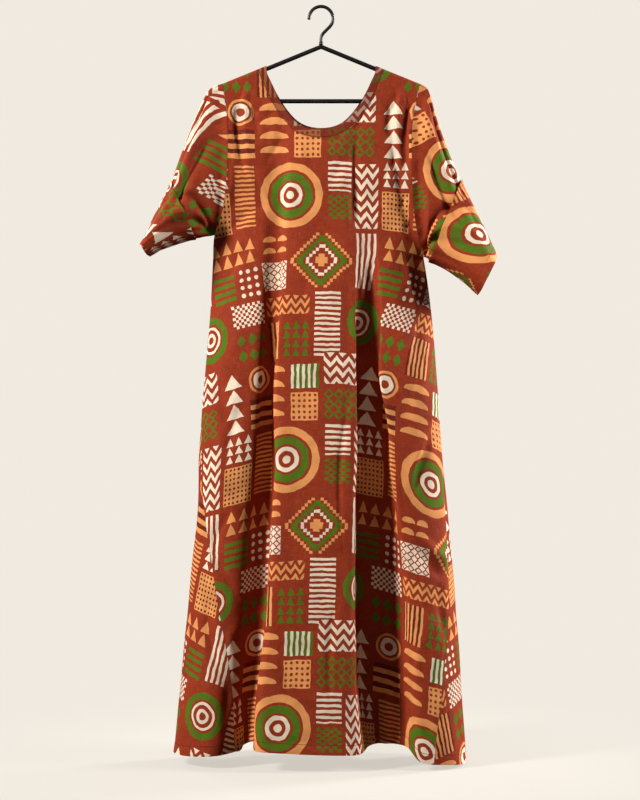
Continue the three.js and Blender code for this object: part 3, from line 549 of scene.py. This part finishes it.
# Bands of the round and stepped motifs: share of the motif's radius where each colour starts
BANDS = {
    "sun": [
        (0, "cream"), (0.12, "rust"), (0.24, "cream"), (0.36, "rust"), (0.44, "green"), (0.66, "rust"),
        (0.74, "tan"),
    ],
    "wheel": [
        (0, "rust"), (0.14, "cream"), (0.26, "rust"), (0.4, "cream"), (0.5, "rust"), (0.6, "green"),
        (0.84, "rust"),
    ],
    "button": [(0, "rust"), (0.3, "cream"), (0.62, "rust"), (0.78, "tan")],
    "diamond": [
        (0, "tan"), (0.16, "rust"), (0.3, "cream"), (0.42, "rust"), (0.56, "green"), (0.74, "rust"),
        (0.86, "tan"),
    ],
}


class Nodes:
    """Makes shader nodes with short calls. Numbers and sockets can be mixed as inputs."""

    def __init__(self, tree):
        self.tree = tree

    def make(self, kind, **inputs):
        node = self.tree.nodes.new(kind)
        for key, value in inputs.items():
            self.set(node.inputs[int(key[1:]) if key[1:].isdigit() else key], value)
        return node

    def set(self, socket, value):
        if isinstance(value, bpy.types.NodeSocket):
            self.tree.links.new(value, socket)
        else:
            socket.default_value = value

    def math(self, operation, *values):
        node = self.tree.nodes.new("ShaderNodeMath")
        node.operation = operation
        for socket, value in zip(node.inputs, values):
            self.set(socket, value)
        return node.outputs[0]

    def mix(self, share, low, high):
        node = self.tree.nodes.new("ShaderNodeMix")
        node.data_type = "RGBA"
        for index, value in ((0, share), (6, low), (7, high)):
            self.set(node.inputs[index], value)
        return node.outputs[2]

    def ramp(self, position, bands):
        node = self.tree.nodes.new("ShaderNodeValToRGB")
        node.color_ramp.interpolation = "CONSTANT"
        elements = node.color_ramp.elements
        elements[0].position, elements[0].color = bands[0][0], INK[bands[0][1]]
        elements[1].position, elements[1].color = bands[1][0], INK[bands[1][1]]
        for start, ink in bands[2:]:
            elements.new(start).color = INK[ink]
        self.set(node.inputs[0], position)
        return node.outputs[0]

    def noise(self, vector, scale, detail=2.0):
        node = self.make("ShaderNodeTexNoise", Vector=vector, Scale=scale, Detail=detail)
        return node.outputs[0], node.outputs[1]

    def uv(self, name, scale=(1, 1, 1)):
        node = self.tree.nodes.new("ShaderNodeUVMap")
        node.uv_map = name
        scaled = self.tree.nodes.new("ShaderNodeVectorMath")
        scaled.operation = "MULTIPLY"
        self.set(scaled.inputs[0], node.outputs[0])
        scaled.inputs[1].default_value = scale
        return scaled.outputs[0]


def motif_mask(n, kind, p, q, across, down):
    """Where a motif has ink. p and q run from the block's corner, in millimetres."""
    m = n.math
    fp = m("SUBTRACT", m("FRACT", m("DIVIDE", p, across)), 0.5)
    fq = m("SUBTRACT", m("FRACT", m("DIVIDE", q, down)), 0.5)
    ap = m("ABSOLUTE", fp)
    if kind == "bars":
        return m("LESS_THAN", fq, 0)
    if kind == "posts":
        return m("LESS_THAN", fp, 0)
    if kind == "teeth":
        return m("LESS_THAN", m("MULTIPLY", ap, 2.3), m("ADD", fq, 0.42))
    if kind == "chevrons":
        return m("LESS_THAN", m("FRACT", m("ADD", m("DIVIDE", q, down), m("MULTIPLY", ap, 1.5))), 0.48)
    if kind == "checks":
        return m("GREATER_THAN", m("MULTIPLY", fp, fq), 0)
    aq = m("ABSOLUTE", fq)
    if kind == "lozenges":
        return m("LESS_THAN", m("ADD", ap, aq), 0.4)
    if kind == "weave":
        ring = m("ABSOLUTE", m("SUBTRACT", m("ADD", ap, aq), 0.42))
        return m("LESS_THAN", ring, 0.12)
    round_ = m("SQRT", m("ADD", m("MULTIPLY", fp, fp), m("MULTIPLY", fq, fq)))
    if kind == "dots":
        return m("LESS_THAN", round_, 0.27)
    return m("MULTIPLY", m("LESS_THAN", round_, 0.44), m("LESS_THAN", fq, 0.06))


def print_colour(n, vector):
    """The block print over a flat coordinate in metres."""
    m = n.math
    # blocks cut by hand don't have straight edges
    _, wobble = n.noise(vector, 60.0, 1.0)
    shift = n.make("ShaderNodeVectorMath", _0=wobble, _1=(0.5, 0.5, 0.5))
    shift.operation = "SUBTRACT"
    moved = n.make("ShaderNodeVectorMath", _0=shift.outputs[0], _1=(0.0045, 0.0045, 0), _2=vector)
    moved.operation = "MULTIPLY_ADD"
    parts = n.make("ShaderNodeSeparateXYZ", _0=moved.outputs[0])
    x = m("WRAP", m("MULTIPLY", parts.outputs[0], 1000.0), float(REPEAT[0]), 0.0)
    y = m("WRAP", m("MULTIPLY", parts.outputs[1], 1000.0), float(REPEAT[1]), 0.0)
    colour = INK["rust"]
    for kind, left, top, w, h, across, down, ground, ink in BLOCKS:
        p, q = m("SUBTRACT", x, float(left)), m("SUBTRACT", y, float(top))
        inside_x = m("COMPARE", p, w / 2, w / 2)
        inside = m("MULTIPLY", inside_x, m("COMPARE", q, h / 2, h / 2))
        if kind in ("rings", "steps"):
            cp, cq = m("SUBTRACT", p, w / 2), m("SUBTRACT", q, h / 2)
            if kind == "rings":
                far = m("SQRT", m("ADD", m("MULTIPLY", cp, cp), m("MULTIPLY", cq, cq)))
            else:
                steps = [m("SNAP", m("ABSOLUTE", c), STEP_SIZE) for c in (cp, cq)]
                far = m("ADD", *steps)
            share = m("DIVIDE", far, across)
            inked = n.ramp(share, BANDS[ink])
            mask = m("LESS_THAN", share, 0.96)
            block = n.mix(mask, INK[ground], inked)
        else:
            block = n.mix(motif_mask(n, kind, p, q, across, down), INK[ground], INK[ink])
        colour = n.mix(inside, colour, block)
    return colour


def cloth_material(name, banded=False):
    material = bpy.data.materials.new(name)
    material.use_nodes = True
    tree = material.node_tree
    tree.nodes.clear()
    n = Nodes(tree)
    m = n.math
    vector = n.uv("cloth")
    colour = print_colour(n, vector)
    if banded:
        colour = n.mix(0.7, colour, INK["deep"])
    # uneven ink, and slubs along the threads
    patch, _ = n.noise(vector, 22.0, 4.0)
    colour = n.mix(m("MULTIPLY", m("SUBTRACT", patch, 0.4), 0.9), colour, linear(96, 24, 8))
    warp, _ = n.noise(n.uv("cloth", (1400, 60, 1)), 1.0, 1.0)
    weft, _ = n.noise(n.uv("cloth", (60, 1400, 1)), 1.0, 1.0)
    threads = m("ADD", m("MULTIPLY", warp, 0.5), m("MULTIPLY", weft, 0.5))
    colour = n.mix(m("MULTIPLY", m("SUBTRACT", threads, 0.5), 0.35), colour, linear(250, 214, 180))
    # the wrong side is paler, as ink doesn't pass right through
    side = n.tree.nodes.new("ShaderNodeAttribute")
    side.attribute_name = "wrong_side"
    colour = n.mix(m("MULTIPLY", side.outputs[2], 0.3), colour, linear(176, 112, 84))
    # a stitched line above each hem
    edge = n.make("ShaderNodeSeparateXYZ", _0=n.uv("edge"))
    near = m("COMPARE", edge.outputs[1], HEM_STITCH / 1000, 0.0006)
    dash = m("LESS_THAN", m("FRACT", m("DIVIDE", edge.outputs[0], 0.0034)), 0.7)
    stitch = m("MULTIPLY", near, dash)
    colour = n.mix(stitch, colour, linear(84, 24, 14))
    height = m("ADD", m("MULTIPLY", threads, 0.25), m("MULTIPLY", stitch, 0.8))
    crumple, _ = n.noise(vector, 34.0, 4.0)
    small = n.make("ShaderNodeBump", Strength=0.35, Distance=0.0006, Height=height)
    bump = n.make("ShaderNodeBump", Strength=0.35, Distance=0.006, Height=crumple, Normal=small.outputs[0])
    ridges = n.make("ShaderNodeTexNoise")
    ridges.noise_type = "RIDGED_MULTIFRACTAL"
    for index, value in ((0, n.uv("cloth", (1, 0.7, 1))), (2, 9.0), (3, 2.0), (4, 0.55), (8, 0.6)):
        n.set(ridges.inputs[index], value)
    where, _ = n.noise(vector, 5.0, 2.0)
    creased = m("MULTIPLY", ridges.outputs[0], m("MAXIMUM", m("SUBTRACT", where, 0.35), 0.0))
    bump = n.make("ShaderNodeBump", Strength=0.6, Distance=0.012, Height=creased, Normal=bump.outputs[0])
    shader = n.make("ShaderNodeBsdfPrincipled", Normal=bump.outputs[0])
    n.set(shader.inputs["Base Color"], colour)
    shader.inputs["Roughness"].default_value = 0.82
    shader.inputs["Specular IOR Level"].default_value = 0.15
    out = n.make("ShaderNodeOutputMaterial", Surface=shader.outputs[0])
    out.is_active_output = True
    return material


def metal_material():
    material = bpy.data.materials.new("hanger_coating")
    material.use_nodes = True
    tree = material.node_tree
    n = Nodes(tree)
    shader = next(node for node in tree.nodes if node.type == "BSDF_PRINCIPLED")
    place = n.tree.nodes.new("ShaderNodeTexCoord")
    grain, _ = n.noise(place.outputs["Object"], 900.0, 2.0)
    worn, _ = n.noise(place.outputs["Object"], 24.0, 3.0)
    colour = n.mix(worn, linear(5, 5, 6), linear(14, 13, 13))
    n.set(shader.inputs["Base Color"], colour)
    n.set(shader.inputs["Roughness"], n.math("ADD", n.math("MULTIPLY", worn, 0.25), 0.28))
    bump = n.make("ShaderNodeBump", Strength=0.12, Distance=0.0002, Height=grain)
    n.set(shader.inputs["Normal"], bump.outputs[0])
    shader.inputs["Specular IOR Level"].default_value = 0.5
    return material


printed = cloth_material("printed_cloth")
banded = cloth_material("neck_band_cloth", banded=True)
metal = metal_material()


def dress(piece, node, material):
    piece.data.materials.append(material)
    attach(piece, "root")
    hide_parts(node)


# The front and back panels
def make_panel(name, folds, counts, deep, hem, creases, centre, origin):
    grid = panel_grid(folds, counts, deep, hem)
    normals = normals_of(grid) * folds["toward"]
    middle = int(np.argmin(np.abs(grid[CENTRE_ROW, :, 0] - centre)))
    u = lengths_along(grid, 1)
    u = u - u[:, middle : middle + 1]
    v = -grid[..., 2]
    # above the underarm the rows fan round the neck, so there the print follows the panel's flat width
    x = grid[: UPPER_ROWS + 1, :, 0]
    near_middle = np.abs(x[UPPER_ROWS]) < 1
    wider = np.where(near_middle, 1, u[UPPER_ROWS] / np.where(near_middle, 1, x[UPPER_ROWS]))
    share = np.linspace(0, 1, UPPER_ROWS + 1)[:, None] ** 2
    flat_u = u.copy()
    flat_u[: UPPER_ROWS + 1] = x * (1 + (wider - 1) * share)
    below = v - shoulder_drop(grid[..., 0])
    rise = ripple(u * folds["toward"] + 400, v) * 1.5 * smooth((below - 10) / 60)
    rise = rise - crease_depth(creases, grid[..., 0], v)
    # cloth is drawn in a little along its seams
    left_edge = lengths_along(grid, 1)
    to_edge = np.minimum(left_edge, left_edge[:, -1:] - left_edge)
    calm = smooth(to_edge / 13) * smooth((below - 8) / 22)
    rise = rise * calm - 0.5 * np.exp(-((to_edge / 5) ** 2)) * smooth((v - CHEST_DROP) / 60)
    from_hem = lengths_along(grid[::-1], 0)[::-1]
    rise = rise + hem_rise(from_hem)
    grid = grid + normals * rise[..., None]
    # the cloth stays clear of the rods inside it
    by_rods = (v < BAR_DROP + 14) & (np.abs(grid[..., 1]) < OVER_ROD) & (below > OVER_ROD_TALL)
    grid[..., 1] = np.where(by_rods, folds["toward"] * OVER_ROD, grid[..., 1])
    # the side folds hang off the straight grain, so there the print leans
    beyond = GRAIN_SOFTNESS * np.log1p(np.exp((np.abs(flat_u) - GRAIN_TURNS) / GRAIN_SOFTNESS))
    turned = GRAIN_LEAN * beyond * smooth((v - CHEST_DROP) / 300)
    uv = np.stack([flat_u / 1000 + origin[0], (v - turned) / 1000 + origin[1]], -1)
    edge_uv = np.stack([u / 1000, from_hem / 1000], -1)
    piece = build_shell(f"{name}_panel", grid, normals_of(grid) * folds["toward"], uv, edge_uv)
    dress(piece, name, printed)


# The hanger first, as the cloth rests on it
def tube(name, path, radius, sides, closed):
    points = np.array([[x, z] for x, z, _ in path])
    sizes = np.array([size for *_, size in path])
    if closed:
        tangent = np.roll(points, -1, 0) - np.roll(points, 1, 0)
    else:
        tangent = np.gradient(points, axis=0)
    tangent /= np.linalg.norm(tangent, axis=1, keepdims=True)
    turn = 2 * np.pi * np.arange(sides) / sides
    out = radius * sizes[:, None] * np.cos(turn)
    ring_x = points[:, :1] - tangent[:, 1:] * out
    ring_z = points[:, 1:] + tangent[:, :1] * out
    ring_y = radius * sizes[:, None] * np.sin(turn)
    verts = np.stack([ring_x, ring_y, ring_z], -1).reshape(-1, 3) / 1000
    count = len(points)
    faces = []
    for i in range(count if closed else count - 1):
        for k in range(sides):
            a, b = i * sides + k, i * sides + (k + 1) % sides
            c, d = ((i + 1) % count) * sides + (k + 1) % sides, ((i + 1) % count) * sides + k
            faces.append((a, d, c, b))
    if not closed:
        faces.append(tuple(range(sides)))
        faces.append(tuple(range(len(verts) - 1, len(verts) - sides - 1, -1)))
    mesh = bpy.data.meshes.new(name)
    mesh.from_pydata(verts.tolist(), [], faces)
    mesh.polygons.foreach_set("use_smooth", np.ones(len(faces), bool))
    piece = bpy.data.objects.new(name, mesh)
    bpy.context.scene.collection.objects.link(piece)
    mesh.update()
    return piece


def arc(x, z, radius, start, stop, steps):
    angles = np.linspace(start, stop, steps + 1)
    return [(x + radius * math.cos(a), z + radius * math.sin(a), 1) for a in angles]


arm_drop = APEX_DROP + ARM_REACH * math.tan(ARM_SLOPE)
end_bend = (BAR_DROP - arm_drop) / (1 + math.cos(ARM_SLOPE))
end_x = ARM_REACH - end_bend * math.sin(ARM_SLOPE)
quarter = math.pi / 2
apex_z = -APEX_DROP - APEX_BEND / math.cos(ARM_SLOPE)
apex = arc(0, apex_z, APEX_BEND, quarter + ARM_SLOPE, quarter - ARM_SLOPE, 8)
right_end = arc(end_x, -BAR_DROP + end_bend, end_bend, quarter - ARM_SLOPE, -quarter, 20)
left_end = [(-x, z, s) for x, z, s in reversed(right_end)]
rod = tube("hanger_rod", [*apex, *right_end, *left_end], ROD_RADIUS, 28, True)
dress(rod, "hanger_frame", metal)

bend = arc(0, -(HOOK_BEND - HOOK_RADIUS), HOOK_BEND, math.pi, HOOK_TAIL_ANGLE, 40)
tip_x, tip_z, _ = bend[0]
tail_x, tail_z, _ = bend[-1]
ROUNDED_TIP = ((0.85, 0.3), (0.75, 0.55), (0.5, 0.83), (0.25, 0.96))
tip = [(tip_x, tip_z - HOOK_RADIUS * k, size) for k, size in ROUNDED_TIP]
apex_top = APEX_DROP + APEX_BEND / math.cos(ARM_SLOPE) - APEX_BEND - ROD_RADIUS
controls = [
    (tail_x, tail_z), (tail_x - 12, tail_z - 13), (0, -HOOK_STEM_TOP + 11), (0, -HOOK_STEM_TOP),
]
stem = []
for s in np.linspace(0, 1, 20)[1:]:
    weights = ((1 - s) ** 3, 3 * s * (1 - s) ** 2, 3 * s * s * (1 - s), s**3)
    x, z = (sum(w * c[k] for w, c in zip(weights, controls)) for k in (0, 1))
    stem.append((x, z, 1))
# the stem thickens to a small collar where it stands on the rod
COLLAR = ((6.5, 1), (5.5, 1.02), (5, 1.3), (1.2, 1.34), (0.3, 1.3))
stem += [(0, -(apex_top - d), size) for d, size in COLLAR]
hook = tube("hook", [*tip, *bend, *stem], HOOK_RADIUS, 24, False)
dress(hook, "hanger_hook", metal)

make_panel(
    "front", FRONT, [34, 34, 50, 34, 38], FRONT_NECK, FRONT_HEM, FRONT_CREASES,
    centre=0, origin=(0.13, 0.21),
)
make_panel(
    "back", BACK, [46, 34, 40, 34, 44], BACK_NECK, BACK_HEM, BACK_CREASES,
    centre=-3, origin=(0.31, 0.05),
)


# The neck's band, two halves that meet on the shoulder seams
def make_band(name, folds, deep):
    counts = [0, 40, 60, 40, 0]
    shares = np.linspace(0, 1, 9)
    rows = []
    for share in shares:
        out = share * (BAND - 0.25)
        x, drop = neck_point(deep, out, neck_angles(folds, counts, deep, out))
        rows.append(panel_point(folds, x, drop))
    grid = np.array(rows)
    normals = normals_of(grid) * folds["toward"]
    u = lengths_along(grid, 1)
    share = shares[:, None]
    plump = 0.3 * np.sqrt(np.clip(1 - (2 * share - 1) ** 4, 0, 1)) * np.ones_like(u)
    pucker = 0.22 * np.sin(u / 2.6 + 1.5 * np.sin(u / 19)) * np.exp(-(((share - 0.9) / 0.25) ** 2))
    ends = smooth(np.minimum(u, u[:, -1:] - u) / 10)
    grid = grid + normals * ((plump + pucker) * ends)[..., None]
    uv = np.stack([grid[..., 0] / 1000 + 0.13, 0.21 - grid[..., 2] / 1000], -1)
    edge_uv = np.stack([u / 1000, 0.004 + share * 0.0168 * np.ones_like(u)], -1)
    piece = build_shell(f"{name}_strip", grid, normals_of(grid) * folds["toward"], uv, edge_uv, thick=0.9)
    dress(piece, name, banded)


make_band("neck_band_front", FRONT, FRONT_NECK)
make_band("neck_band_back", BACK, BACK_NECK)


# Sleeves and cuffs
def sleeve_grid(side, rows, rings, columns):
    sign = -1 if side == "left" else 1
    cols = [column_of(rows, i) for i in range(1, 6)]
    half = columns // 2
    swept = np.cos(np.pi * np.arange(half) / half)
    shares = np.concatenate([(1 - swept) / 2, (1 + swept) / 2])
    face = np.concatenate([-np.ones(half), np.ones(half)])
    out = []
    for t in rings:
        top_x, top_drop, low_x, low_drop, depth = (float(c(t)) for c in cols)
        seam = (1 - min(t / BOW_FADES, 1)) ** 2
        drop = top_drop + (low_drop - top_drop) * shares
        bow = outline[side](drop) + ARMHOLE_GAP - (rows[0][1] + (rows[0][3] - rows[0][1]) * shares)
        x = top_x + (low_x - top_x) * shares + bow * seam
        round_ = depth * 2 * np.sqrt(shares * (1 - shares))
        beside = panel_point(FRONT, sign * outline[side](drop), np.maximum(drop, SHOULDER_TIP))
        at_armhole = np.abs(beside[:, 1])
        below = np.minimum((drop - top_drop) / OVER_ROD_TALL, 1)
        over = OVER_ROD * np.sqrt(1 - (1 - below) ** 2) if t < ROD_REACHES else 0
        y = np.maximum(round_ * (1 - seam) + at_armhole * seam, over)
        y = np.where(shares * (1 - shares) < 1e-9, 0, y)
        out.append(np.stack([sign * x, face * y, -drop], -1))
    return np.array(out)


# Soft folds of a sleeve: share round the ring, lean round it over the sleeve's length, half width, depth and
# how far it runs
SLEEVE_FOLDS = [
    (0.05, 0.1, 0.018, 6, 0.8), (0.12, 0.08, 0.02, -4, 0.7), (0.2, 0.02, 0.022, 6, 0.8),
    (0.475, -0.56, 0.02, 7, 0.75), (0.465, -0.37, 0.018, -4.5, 0.7), (0.46, -0.25, 0.02, 7, 0.9),
    (0.455, -0.1, 0.018, 5, 0.8), (0.525, 0.5, 0.02, 6, 0.7), (0.535, 0.3, 0.018, -4, 0.7),
    (0.54, 0.19, 0.02, 6.5, 0.9), (0.8, -0.04, 0.022, 6, 0.8), (0.9, -0.1, 0.02, 5.5, 0.7),
    (0.66, 0.07, 0.016, 4, 0.6),
]
CUFF_FOLDS = 0.55  # share of these folds that a cuff has
CUFF_OUT = 1.6
GATHERS = 23


def make_sleeve(name, side, rows, rings, outward, origin, turned):
    """A sleeve, or a cuff, which lies "outward" from the sleeve and has its print turned."""
    columns = 128
    half = columns // 2
    # the seam runs underneath, so the columns start there
    grid = np.roll(sleeve_grid(side, rows, rings, columns), half, axis=1)
    sign = -1 if side == "left" else 1
    normals = normals_of(grid, True) * sign
    if np.einsum("ijk,ijk->", normals, grid - grid.mean(axis=1, keepdims=True)) < 0:
        normals = -normals
    around = (np.arange(columns)[None, :] / columns + 0.5) % 1
    t = np.array(rings)[:, None]
    # the print is laid out flat from the fold line on top, along the sleeve and round it
    flat_grid = grid[..., [0, 2]]
    fold_line = flat_grid[:, half]
    lie = (fold_line[-1] - fold_line[0]) / np.linalg.norm(fold_line[-1] - fold_line[0])
    flat_v = (flat_grid - fold_line[-1]) @ lie
    across = flat_grid @ np.array([-lie[1], lie[0]])
    turns = np.hypot(np.diff(across, axis=1), np.diff(grid[..., 1], axis=1))
    u = np.concatenate([np.zeros((len(rings), 1)), np.cumsum(turns, axis=1)], 1)
    u = u - u[:, half : half + 1]
    from_hem = lengths_along(grid[::-1], 0)[::-1]
    from_top = lengths_along(grid, 0)
    rise = np.zeros(grid.shape[:2])
    for place, lean, width, depth, runs in SLEEVE_FOLDS:
        away = (around - place - lean * t / 2 + 0.5) % 1 - 0.5
        reach = smooth(t / 0.25) * smooth((runs * 2 + 0.4 - t) / 0.8)
        rise -= depth * np.exp(-((away / width) ** 2)) * reach
    rise *= CUFF_FOLDS if outward else 1
    rise += 0.8 * np.sin(around * 2 * np.pi * 7 + 3 * t) * smooth(t / 0.3)
    if not outward:
        # the sleeve's head is eased into the armhole
        gathers = np.sin(around * 2 * np.pi * GATHERS + np.sin(around * 31))
        rise += 0.9 * gathers * smooth(t / 0.06) * np.exp(-((t / 0.22) ** 2))
        face = smooth(np.minimum(around % 0.5, 0.5 - around % 0.5) / 0.06)
        bulge = 3 * np.exp(-(((from_top - 40) / 17) ** 2))
        valley = 2.4 * np.exp(-(((from_top - 12) / 9) ** 2))
        rise += face * (bulge - valley)
        # and it dips where it goes in under the cuff
        rise -= 1.5 * np.exp(-((from_hem / 9) ** 2))
    if outward:
        rise += outward + hem_rise(from_hem)
        rise += 1.6 * np.exp(-((from_top / 8) ** 2))
    grid = grid + normals * rise[..., None]
    flat = (flat_v, u) if turned else (u, flat_v)
    uv = np.stack([flat[0] / 1000 + origin[0], flat[1] / 1000 + origin[1]], -1)
    # a sleeve's lower end is under the cuff and has no stitched line
    edge_uv = np.stack([u / 1000, (from_hem if outward else from_hem + 100) / 1000], -1)
    fresh = normals_of(grid, True)
    if np.einsum("ijk,ijk->", fresh, normals) < 0:
        fresh = -fresh
    piece = build_shell(f"{name}_tube", grid, fresh, uv, edge_uv, around=True)
    dress(piece, name, printed)


sleeve_rings = np.linspace(0, 1.03, 60) ** 1.15
cuff_rings = np.linspace(0.985, 2, 50)
make_sleeve(
    "sleeve_left", "left", SLEEVE_LEFT, sleeve_rings, 0,
    origin=(0.2, 0.32), turned=False,
)
make_sleeve(
    "sleeve_right", "right", SLEEVE_RIGHT, sleeve_rings, 0,
    origin=(0.05, 0.1), turned=False,
)
make_sleeve(
    "cuff_left", "left", SLEEVE_LEFT, cuff_rings, CUFF_OUT,
    origin=(0.3, 0.4), turned=True,
)
make_sleeve(
    "cuff_right", "right", SLEEVE_RIGHT, cuff_rings, CUFF_OUT,
    origin=(0.12, 0.02), turned=True,
)


# Floor and light
BACKDROP = linear(241, 234, 224)
FLOOR_RADIUS = 2.6
FLOOR_HEIGHT = -1.478
FLOOR_SIDES = 64
floor_mesh = bpy.data.meshes.new("floor")
bearings = np.linspace(0, 2 * math.pi, FLOOR_SIDES + 1)[:-1]
ring = [(FLOOR_RADIUS * math.cos(a), FLOOR_RADIUS * math.sin(a), FLOOR_HEIGHT) for a in bearings]
floor_mesh.from_pydata(ring, [], [tuple(range(FLOOR_SIDES))])
floor = bpy.data.objects.new("floor", floor_mesh)
bpy.context.scene.collection.objects.link(floor)
floor_material = bpy.data.materials.new("floor")
floor_material.use_nodes = True
tree = floor_material.node_tree
tree.nodes.clear()
n = Nodes(tree)
place = tree.nodes.new("ShaderNodeTexCoord")
distance = tree.nodes.new("ShaderNodeVectorMath")
distance.operation = "LENGTH"
flat_place = n.make("ShaderNodeVectorMath", _0=place.outputs["Object"], _1=(1, 1, 0))
flat_place.operation = "MULTIPLY"
n.set(distance.inputs[0], flat_place.outputs[0])
fade = n.make("ShaderNodeMapRange", Value=distance.outputs["Value"])
fade.interpolation_type = "SMOOTHSTEP"
fade.inputs[1].default_value, fade.inputs[2].default_value = 0.2, 0.9
matte = n.make("ShaderNodeBsdfDiffuse", Color=linear(202, 197, 189))
clear = n.make("ShaderNodeBsdfTransparent")
glow = n.make("ShaderNodeEmission", Color=BACKDROP)
soft = n.make("ShaderNodeMixShader", _0=0.7, _1=matte.outputs[0], _2=glow.outputs[0])
both = n.make("ShaderNodeMixShader", _0=fade.outputs[0], _1=soft.outputs[0], _2=clear.outputs[0])
# seen by the camera only, so that it doesn't light the cloth from below
seen = tree.nodes.new("ShaderNodeLightPath").outputs["Is Camera Ray"]
shown = n.make("ShaderNodeMixShader", _0=seen, _1=clear.outputs[0], _2=both.outputs[0])
n.make("ShaderNodeOutputMaterial", Surface=shown.outputs[0])
floor_mesh.materials.append(floor_material)

world = bpy.data.worlds.new("studio")
bpy.context.scene.world = world
world.use_nodes = True
sky = Nodes(world.node_tree)
backdrop = world.node_tree.nodes["Background"]
backdrop.inputs[0].default_value = BACKDROP
# the backdrop is bright, but lights the garment softly
path = world.node_tree.nodes.new("ShaderNodeLightPath")
seen = path.outputs["Is Camera Ray"]
sky.set(backdrop.inputs[1], sky.math("ADD", sky.math("MULTIPLY", seen, 0.94), 0.06))
bpy.context.scene.view_settings.view_transform = "Standard"


def area_light(name, place, aim, size, power, colour):
    data = bpy.data.lights.new(name, "AREA")
    data.shape = "RECTANGLE"
    data.size, data.size_y = size
    data.energy = power
    data.color = colour
    light = bpy.data.objects.new(name, data)
    light.location = place
    light.rotation_euler = (Vector(aim) - Vector(place)).to_track_quat("-Z", "Y").to_euler()
    bpy.context.scene.collection.objects.link(light)


area_light("key", (-3.3, -1.95, 1.4), (0, 0, -0.8), (0.6, 0.9), 310, (1, 0.97, 0.93))
area_light("side", (3.5, -0.6, 0.6), (0, 0, -0.7), (0.8, 1.2), 165, (1, 0.98, 0.96))
area_light("front", (0.3, -4.2, 0.8), (0, 0, -0.8), (1.2, 1.0), 8, (1, 0.98, 0.96))
area_light("back_key", (3.5, 1.65, 1.2), (0, 0, -0.8), (0.8, 1.0), 210, (1, 0.98, 0.95))
area_light("back_fill", (-2.4, 3.4, 0.9), (0, 0, -0.8), (1.0, 1.2), 60, (1, 0.98, 0.96))
